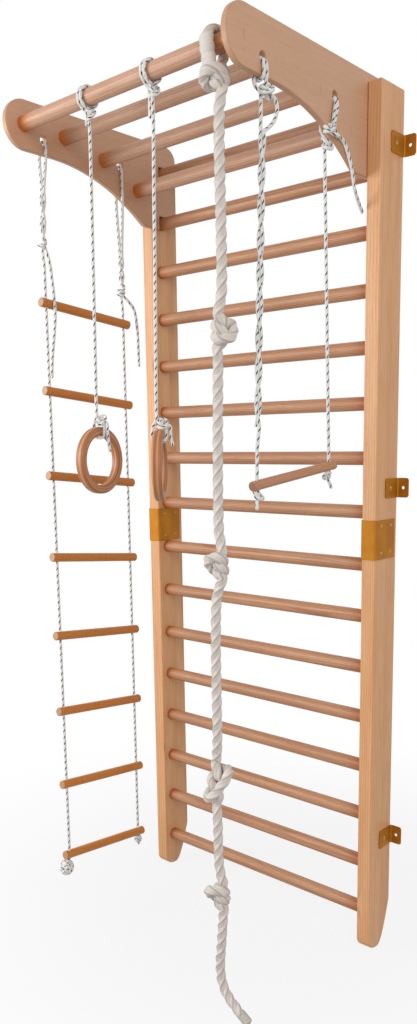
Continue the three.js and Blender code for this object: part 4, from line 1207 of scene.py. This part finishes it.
def rod(node, start, end, diameter, rounding, body, slot, material, tenon=None):
    """A wooden rod with rounded ends, which stands for a CAD node; its ends have a colour of their own, for
    end grain and, by a tenon, painted shade and bounce light.
    """
    start = Vector(start)
    axis = (Vector(end) - start).normalized()
    length = (Vector(end) - start).length
    side = axis.orthogonal().normalized()
    other = axis.cross(side)
    radius = diameter / 2
    profile = []
    for step in range(6):
        angle = math.pi / 2 * step / 5
        profile.append((rounding * (1 - math.cos(angle)), radius - rounding * (1 - math.sin(angle))))
    end_grain_and_shade_shares = [1.0, 0.5, 0.0, 0.0, 0.0, 0.0]
    if tenon is not None:
        # By a tenon the rod gets painted shade and bounce light, fading away from the post or panel
        profile += [(tenon + out, radius) for out in PAINTED_SHADE_STEPS]
        end_grain_and_shade_shares = [1.0] * len(end_grain_and_shade_shares) + list(PAINTED_SHADE_STEPS.values())
    profile += [(length - along, across) for along, across in reversed(profile)]
    end_grain_and_shade_shares += end_grain_and_shade_shares[::-1]
    sides = 48
    vertices = []
    for along, across in profile:
        for step in range(sides):
            angle = 2 * math.pi * step / sides
            out = side * math.cos(angle) + other * math.sin(angle)
            vertices.append((start + axis * along + out * across) * MM)
    faces = []
    for ring in range(len(profile) - 1):
        for step in range(sides):
            following = (step + 1) % sides
            faces.append((ring * sides + step, ring * sides + following,
                          (ring + 1) * sides + following, (ring + 1) * sides + step))
    last = (len(profile) - 1) * sides
    faces.append(tuple(range(sides))[::-1])
    faces.append(tuple(last + step for step in range(sides)))
    mesh = bpy.data.meshes.new(node)
    mesh.from_pydata(vertices, [], faces)
    set_grain(mesh, start, axis, side, other, timber_shift(0.012, 0.05))
    layer = mesh.attributes.new("end_grain_and_shade", "FLOAT", "POINT")
    layer.data.foreach_set("value", np.repeat(np.array(end_grain_and_shade_shares, np.float32), sides))
    piece = link(f"{node}.wood", mesh, body, material)
    shade_by_area(piece)
    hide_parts(node)
    return piece


for number in range(1, RUNG_COUNT + 1):
    reach = POST_INNER + RUNG_TENON - FIT_GAP
    z = rung_height(number)
    ends = ((-reach, RUNG_Y, z), (reach, RUNG_Y, z))
    rod(f"rung_{number:02d}", *ends, RUNG_DIAMETER, 1, "frame", "pine", PINE, RUNG_TENON)

for name, (reach, drop) in TOP_BARS.items():
    half = PANEL_X - PANEL_THICKNESS / 2 + TOP_BAR_TENON
    ends = ((-half, -reach, BAR_Z - drop), (half, -reach, BAR_Z - drop))
    rod(name, *ends, TOP_BAR_DIAMETER, 0.6, "frame", "pine", TOP_PINE, TOP_BAR_TENON)


def hung_bar(node, x, reach, z, length, slope, diameter, body, material):
    """A bar that hangs on cords, with its front end raised by its slope."""
    tilt = math.atan(slope)
    half = Vector((0, -math.cos(tilt), math.sin(tilt))) * (length / 2)
    middle = Vector((x, -reach, z))
    rod(node, middle - half, middle + half, diameter, 2, body, "beech", material)


for number in range(1, LADDER_COUNT + 1):
    share = (number - 1) / (LADDER_COUNT - 1)
    fall = share + LADDER_CLOSING * share * (1 - share)
    z = LADDER_TOP + (LADDER_BOTTOM - LADDER_TOP) * fall
    hung_bar(f"ladder_rung_{number}", LADDER_X, LADDER_REACH, z, LADDER_LENGTH, LADDER_SLOPE, LADDER_RUNG,
             "rope_ladder", BEECH)
hung_bar("trapeze_bar", TRAPEZE_X, TRAPEZE_REACH, TRAPEZE_HEIGHT, TRAPEZE_LENGTH, TRAPEZE_SLOPE, TRAPEZE_BAR,
         "trapeze", BAR_WOOD)


# Plates: an outline with holes, and rims rounded over
def plate(outline, holes, low, high, rounding, place):
    """Holes are a centre, a radius and whether the rim is rounded; place gives x, y and z."""
    loops = [(outline, True)]
    for (across, up), radius, rounded in holes:
        turns = [2 * math.pi * step / 48 for step in range(48)]
        loops.append(([(across + radius * math.cos(t), up + radius * math.sin(t)) for t in turns], rounded))
    work = bmesh.new()
    rims = []
    caps = {low: [], high: []}
    for loop, rounded in loops:
        levels = {level: [work.verts.new(Vector(place(u, v, level)) * MM) for u, v in loop] for level in caps}
        count = len(loop)
        for index in range(count):
            following = (index + 1) % count
            work.faces.new((levels[low][index], levels[low][following], levels[high][following],
                            levels[high][index]))
            for level in caps:
                edge = work.edges.get((levels[level][index], levels[level][following]))
                caps[level].append(edge)
                if rounded:
                    rims.append(edge)
    for edges in caps.values():
        bmesh.ops.triangle_fill(work, use_beauty=True, edges=edges)
    bmesh.ops.recalc_face_normals(work, faces=work.faces)
    bmesh.ops.bevel(work, geom=rims, offset=rounding * MM, segments=4, profile=0.5, affect="EDGES",
                    clamp_overlap=False)
    return work


def plate_piece(name, works, body, material, node=None):
    whole = bmesh.new()
    for work in works:
        part = bpy.data.meshes.new("part")
        work.to_mesh(part)
        work.free()
        whole.from_mesh(part)
        bpy.data.meshes.remove(part)
    mesh = bpy.data.meshes.new(name)
    whole.to_mesh(mesh)
    whole.free()
    piece = link(name, mesh, body, material)
    shade_by_area(piece)
    if node:
        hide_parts(node)
    return piece


def bezier(points, steps):
    """Points on the curve of two or three spans that its control points give."""
    result = []
    for step in range(steps + 1):
        share = step / steps
        level = [Vector(place) for place in points]
        while len(level) > 1:
            level = [first.lerp(second, share) for first, second in zip(level, level[1:])]
        result.append(tuple(level[0]))
    return result


# Posts
def lower_post_outline():
    top = SPLIT_HEIGHT - FIT_GAP / 2
    toe = [(-POST_DEPTH, TOE_HEIGHT), (-POST_DEPTH + 8, 3), (-FOOT_FLAT_FRONT, 0)]
    heel = [(-FOOT_FLAT_REAR, 0), (-36, 6), (-18, HEEL_HEIGHT / 2), (0, HEEL_HEIGHT)]
    return [(-POST_DEPTH, top), *bezier(toe, 10), *bezier(heel, 20), (0, top)]


def upper_post_outline():
    bottom = SPLIT_HEIGHT + FIT_GAP / 2
    return [(-POST_DEPTH, HEIGHT), (-POST_DEPTH, bottom), (0, bottom), (0, HEIGHT)]


for side, sign in SIDES.items():
    for half, outline in (("lower", lower_post_outline()), ("upper", upper_post_outline())):
        x = sign * POST_X
        node = f"post_{side}_{half}"
        inner = x - POST_WIDTH / 2
        work = plate(outline, [], inner, inner + POST_WIDTH, POST_ROUND, lambda u, v, w: (w, u, v))
        piece = plate_piece(f"{node}.wood", [work], "frame", POST_PINE, node)
        shift = (chance.uniform(0, 9), 0.06 + chance.uniform(0, 0.02), chance.uniform(0.2, 0.3))
        set_grain(piece.data, (x, 0, 0), (0, 0, 1), (1, 0, 0), (0, 1, 0), shift)


# Panels
def panel_outline():
    half = RUNG_DIAMETER / 2 + FIT_GAP
    hook = RUNG_Y - half
    bend_centre = (-EDGE_BEND_START, PANEL_FLAT - EDGE_BEND_RADIUS)
    bend = arc(bend_centre, EDGE_BEND_RADIUS, math.pi / 2, math.pi / 2 - EDGE_BEND_ANGLE, 30)
    slope_end = bend[-1][0] + (bend[-1][1] - PANEL_BOTTOM) / math.tan(EDGE_BEND_ANGLE)
    run = EDGE_FILLET * math.tan(EDGE_BEND_ANGLE / 2)
    back = run * math.cos(EDGE_BEND_ANGLE)
    rise = run * math.sin(EDGE_BEND_ANGLE)
    corner = (slope_end, PANEL_BOTTOM)
    fillet = bezier([(slope_end - back, PANEL_BOTTOM + rise), corner, (slope_end + run, PANEL_BOTTOM)], 8)
    rear = (-PANEL_REAR - PANEL_CORNER, PANEL_TOP - PANEL_CORNER)
    hooks = [
        (hook, PANEL_BOTTOM),
        (hook, rung_height(2) + half),
        (-PANEL_REAR, rung_height(2) + half),
        (-PANEL_REAR, rung_height(1) - half),
        (hook, rung_height(1) - half),
        (hook, rung_height(1) + half),
        (-PANEL_REAR, rung_height(1) + half),
    ]
    nose = arc((-NOSE_REACH, BAR_Z), NOSE_RADIUS, math.pi / 2, 1.5 * math.pi, 40)
    return [*bend, *fillet, *hooks, *arc(rear, PANEL_CORNER, 0, math.pi / 2, 14), *nose]


panel_holes = [
    ((-hole["reach"], BAR_Z - hole["drop"]), CORD_HOLE_DIAMETER / 2, True)
    for hole in (FRONT_HOLE, REAR_HOLE)
]
for side, sign in SIDES.items():
    x = sign * PANEL_X
    half = PANEL_THICKNESS / 2
    work = plate(panel_outline(), panel_holes, x - half, x + half, PANEL_ROUND, lambda u, v, w: (w, u, v))
    piece = plate_piece(f"panel_{side}.wood", [work], "frame", PLYWOOD, f"panel_{side}")
    shift = (chance.uniform(0, 9), 0.3, 0)
    set_grain(piece.data, (x, 0, 0), (0, 1, 0), (0, 0, 1), (1, 0, 0), shift)


# Faint curved marks on the outer faces, over the ends of three of the bars: thin darker strips, painted shade
# on one side of the slight bulge each bar end makes
MARKED_BARS = ("top_bar_front", "top_bar_third", "top_bar_rear")


def bar_mark(reach, drop, face, sign):
    curve = arc((13 - reach, BAR_Z - drop), 13, math.radians(130), math.radians(230), 16)
    outline = [*curve, *[(across + 1, up) for across, up in reversed(curve)]]
    return plate(outline, [], face - sign * 0.4, face + sign * 0.12, 0.05, lambda u, v, w: (w, u, v))


for side, sign in SIDES.items():
    face = sign * (PANEL_X + PANEL_THICKNESS / 2)
    marks = plate_piece(f"panel_{side}.marks", [bar_mark(*TOP_BARS[bar], face, sign) for bar in MARKED_BARS],
                        "frame", PAINTED_SHADE_MARK)
    set_grain(marks.data, (face, 0, 0), (0, 1, 0), (0, 0, 1), (1, 0, 0), (0, 0.3, 0))


# Screws: a dome with a cross in it
def screw_head(place, out, radius):
    """A mesh for a screw head that faces along X; out is 1 or -1."""
    steps = 28
    work = bmesh.new()
    rows = []
    for row in range(steps + 1):
        line = []
        for column in range(steps + 1):
            u = 2 * column / steps - 1
            v = 2 * row / steps - 1
            across = u * math.sqrt(1 - v * v / 2)
            up = v * math.sqrt(1 - u * u / 2)
            height = 2.2 * math.sqrt(max(0, 1.05 - across * across - up * up)) - 0.4
            in_cross = (abs(across) < 0.16 and abs(up) < 0.6) or (abs(up) < 0.16 and abs(across) < 0.6)
            if in_cross:
                height -= 1.4
            where = (place[0] + out * height, place[1] + radius * across, place[2] + radius * up)
            line.append(work.verts.new(Vector(where) * MM))
        rows.append(line)
    for lower, upper in zip(rows, rows[1:]):
        for column in range(steps):
            corners = (lower[column], lower[column + 1], upper[column + 1], upper[column])
            work.faces.new(corners[::out])
    return work


# Sleeves round the joints of the posts
def sleeve_outline(x):
    inner = POST_WIDTH / 2 + FIT_GAP
    outer = inner + SLEEVE_SHEET
    front = -POST_DEPTH - FIT_GAP
    bend = POST_ROUND
    right = (inner - bend, front + bend)
    left = (-inner + bend, front + bend)
    outline = [
        (outer, -SLEEVE_SHORT),
        (inner, -SLEEVE_SHORT),
        *arc(right, bend, 0, -math.pi / 2, 8),
        *arc(left, bend, -math.pi / 2, -math.pi, 8),
        (-inner, -SLEEVE_SHORT),
        (-outer, -SLEEVE_SHORT),
        *arc(left, bend + SLEEVE_SHEET, math.pi, 1.5 * math.pi, 8),
        *arc(right, bend + SLEEVE_SHEET, -math.pi / 2, 0, 8),
    ]
    return [(x + across, y) for across, y in outline]


SLEEVE_SCREWS = [(-77, 34), (-77, -34), (-31, 34), (-31, -34)]
for side, sign in SIDES.items():
    x = sign * POST_X
    low = SPLIT_HEIGHT - SLEEVE_HEIGHT / 2
    work = plate(sleeve_outline(x), [], low, low + SLEEVE_HEIGHT, 0.5, lambda u, v, w: (u, v, w))
    sleeve = plate_piece(f"sleeve_{side}.steel", [work], "frame", STEEL, f"sleeve_{side}")
    set_grain(sleeve.data, (x, 0, 0), (0, 0, 1), (1, 0, 0), (0, 1, 0), (0, 0, 0))
    face = POST_WIDTH / 2 + FIT_GAP + SLEEVE_SHEET
    heads = [
        screw_head((x + out * face, y, SPLIT_HEIGHT + rise), out, SLEEVE_SCREW_RADIUS)
        for out in (-1, 1)
        for y, rise in SLEEVE_SCREWS
    ]
    screws = plate_piece(f"sleeve_{side}.screws", heads, "frame", SCREW)
    set_grain(screws.data, (x, 0, 0), (0, 0, 1), (1, 0, 0), (0, 1, 0), (0, 0, 0))


# Wall brackets
def corner_rounded(low, high, end, other):
    """The outline of a flat strip whose two corners at the far end are rounded."""
    way = 1 if end > other else -1
    corner = BRACKET_CORNER
    turn = arc((0, 0), corner, 0, math.pi / 2, 8)
    upper = [(end + way * (across - corner), high - corner + up) for across, up in reversed(turn)]
    lower = [(end + way * (across - corner), low + corner - up) for across, up in turn]
    return [(other, high), *upper, *lower, (other, low)]


def bracket_works(sign, height):
    near = sign * (WIDTH / 2 + FIT_GAP)
    low = height - BRACKET_HEIGHT / 2
    high = height + BRACKET_HEIGHT / 2
    sheet = BRACKET_SHEET
    outer = BRACKET_BEND + sheet
    side_outline = corner_rounded(low, high, -BRACKET_SIDE, -outer + 1)
    side = plate(side_outline, [], near, near + sign * sheet, 0.4, lambda u, v, w: (w, u, v))
    far = near + sign * BRACKET_WALL
    wall_outline = corner_rounded(low, high, far, near + sign * (outer - 1))
    hole = ((near + far + sign * sheet) / 2, height)
    wall = plate(wall_outline, [(hole, BRACKET_HOLE / 2, True)], -sheet, 0, 0.4, lambda u, v, w: (u, w, v))
    centre = (near + sign * outer, -outer)
    start = math.pi if sign > 0 else 0
    end = math.pi / 2
    bend_outline = [*arc(centre, outer, start, end, 10), *arc(centre, BRACKET_BEND, end, start, 10)]
    bend = plate(bend_outline, [], low, high, 0.4, lambda u, v, w: (u, v, w))
    return [side, wall, bend]


BRACKETS = {
    "upper": HEIGHT - BRACKET_BELOW_TOP,
    "middle": SPLIT_HEIGHT + BRACKET_ABOVE_JOINT,
    "lower": LOWEST_BRACKET,
}
for side, sign in SIDES.items():
    for place, height in BRACKETS.items():
        node = f"bracket_{side}_{place}"
        works = bracket_works(sign, height)
        piece = plate_piece(f"{node}.steel", works, "frame", STEEL, node)
        set_grain(piece.data, (0, 0, 0), (0, 0, 1), (1, 0, 0), (0, 1, 0), (0, 0, 0))
        face = WIDTH / 2 + FIT_GAP + BRACKET_SHEET
        head = screw_head((sign * face, -35, height), sign, BRACKET_SCREW_RADIUS)
        screw = plate_piece(f"{node}.screw", [head], "frame", SCREW)
        set_grain(screw.data, (0, 0, 0), (0, 0, 1), (1, 0, 0), (0, 1, 0), (0, 0, 0))


# Rings: a rounded square section turned about the ring's axis
def ring_piece(name, ring):
    middle = RING_OUTER / 2 - RING_SECTION / 2
    section = []
    for corner in range(4):
        out = RING_SECTION / 2 - RING_ROUND
        aside = RING_THICKNESS / 2 - RING_ROUND
        sign_out = 1 if corner in (0, 3) else -1
        sign_aside = 1 if corner < 2 else -1
        start = math.pi / 2 * corner
        section.extend(arc((sign_out * out, sign_aside * aside), RING_ROUND, start, start + math.pi / 2, 6))
    facing = math.radians(ring["facing"])
    axis = np.array((math.cos(facing), math.sin(facing), 0))
    level = np.array((-math.sin(facing), math.cos(facing), 0))
    centre = np.array((ring["x"], BAR_Y, BAR_Z - ring["drop"]))
    around = 144
    vertices = []
    grain = []
    for step in range(around):
        turn = 2 * math.pi * step / around
        out = level * math.cos(turn) + np.array((0, 0, math.sin(turn)))
        for away, aside in section:
            vertices.append((centre + out * (middle + away) + axis * aside) * MM)
            grain.append(((middle * math.sin(turn) + 400) * MM, (away + 60) * MM, (aside + 40) * MM))
    count = len(section)
    faces = []
    for step in range(around):
        here = step * count
        there = (step + 1) % around * count
        for index in range(count):
            following = (index + 1) % count
            faces.append((here + index, there + index, there + following, here + following))
    mesh = bpy.data.meshes.new(name)
    mesh.from_pydata([tuple(place) for place in vertices], [], faces)
    layer = mesh.attributes.new("grain", "FLOAT_VECTOR", "POINT")
    layer.data.foreach_set("vector", np.array(grain, np.float32).ravel())
    mesh.shade_smooth()
    piece = link(f"{name}.wood", mesh, name, RING_WOOD)
    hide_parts(name)


for name, ring in RINGS.items():
    ring_piece(name, ring)


# Light, floor and background
def make_light(name, place, target, size, power):
    data = bpy.data.lights.new(name, "AREA")
    data.shape = "DISK"
    data.size = size
    data.energy = power
    lamp = bpy.data.objects.new(name, data)
    lamp.location = place
    lamp.rotation_euler = (Vector(target) - Vector(place)).to_track_quat("-Z", "Y").to_euler()
    bpy.context.scene.collection.objects.link(lamp)


def seen_directly(tree):
    """One for rays that show a background: from the camera, in a reflection or through glass."""
    path = tree.nodes.new("ShaderNodeLightPath")
    total = path.outputs["Is Camera Ray"]
    for name in ("Is Glossy Ray", "Is Transmission Ray"):
        largest = tree.nodes.new("ShaderNodeMath")
        largest.operation = "MAXIMUM"
        tree.links.new(total, largest.inputs[0])
        tree.links.new(path.outputs[name], largest.inputs[1])
        total = largest.outputs[0]
    return total


def make_world():
    world = bpy.data.worlds.new("studio")
    world.use_nodes = True
    tree = world.node_tree
    light = tree.nodes["Background"]
    light.inputs["Color"].default_value = (1.0, 1.0, 1.0, 1.0)
    light.inputs["Strength"].default_value = 0.5
    white = tree.nodes.new("ShaderNodeBackground")
    white.inputs["Color"].default_value = (1.0, 1.0, 1.0, 1.0)
    mix = tree.nodes.new("ShaderNodeMixShader")
    tree.links.new(seen_directly(tree), mix.inputs[0])
    tree.links.new(light.outputs[0], mix.inputs[1])
    tree.links.new(white.outputs[0], mix.inputs[2])
    tree.links.new(mix.outputs[0], tree.nodes["World Output"].inputs[0])
    bpy.context.scene.world = world


def make_floor():
    """A pale floor that keeps the shadow near the object and fades into the white background."""
    mesh = bpy.data.meshes.new("floor")
    half = 12
    corners = [(-half, -half, -0.001), (half, -half, -0.001), (half, half, -0.001), (-half, half, -0.001)]
    mesh.from_pydata(corners, [], [(0, 1, 2, 3)])
    floor = bpy.data.objects.new("floor", mesh)
    bpy.context.scene.collection.objects.link(floor)
    shader = Shader("floor", 0.9)
    shader.surface.inputs["Base Color"].default_value = (0.45, 0.45, 0.45, 1.0)
    place = shader.tree.nodes.new("ShaderNodeTexCoord").outputs["Object"]
    distance = shader.tree.nodes.new("ShaderNodeVectorMath")
    distance.operation = "LENGTH"
    shader.put(place, distance.inputs[0])
    whiteness = shader.step(distance.outputs["Value"], 0.3, 1.6, 0.86, 1.0)
    share = shader.math("MULTIPLY", seen_directly(shader.tree), whiteness)
    glow = shader.tree.nodes.new("ShaderNodeEmission")
    mix = shader.tree.nodes.new("ShaderNodeMixShader")
    shader.put(share, mix.inputs[0])
    shader.put(shader.surface.outputs[0], mix.inputs[1])
    shader.put(glow.outputs[0], mix.inputs[2])
    shader.put(mix.outputs[0], shader.tree.nodes["Material Output"].inputs[0])
    mesh.materials.append(shader.material)


make_world()
make_floor()
make_light("key", (-1.7, -2.4, 1.8), (-0.2, -0.1, 1.2), 1.8, 56)
make_light("side", (3.6, -2.2, 2.4), (0, -0.2, 1.2), 2.5, 60)
bpy.context.scene.view_settings.view_transform = "Standard"
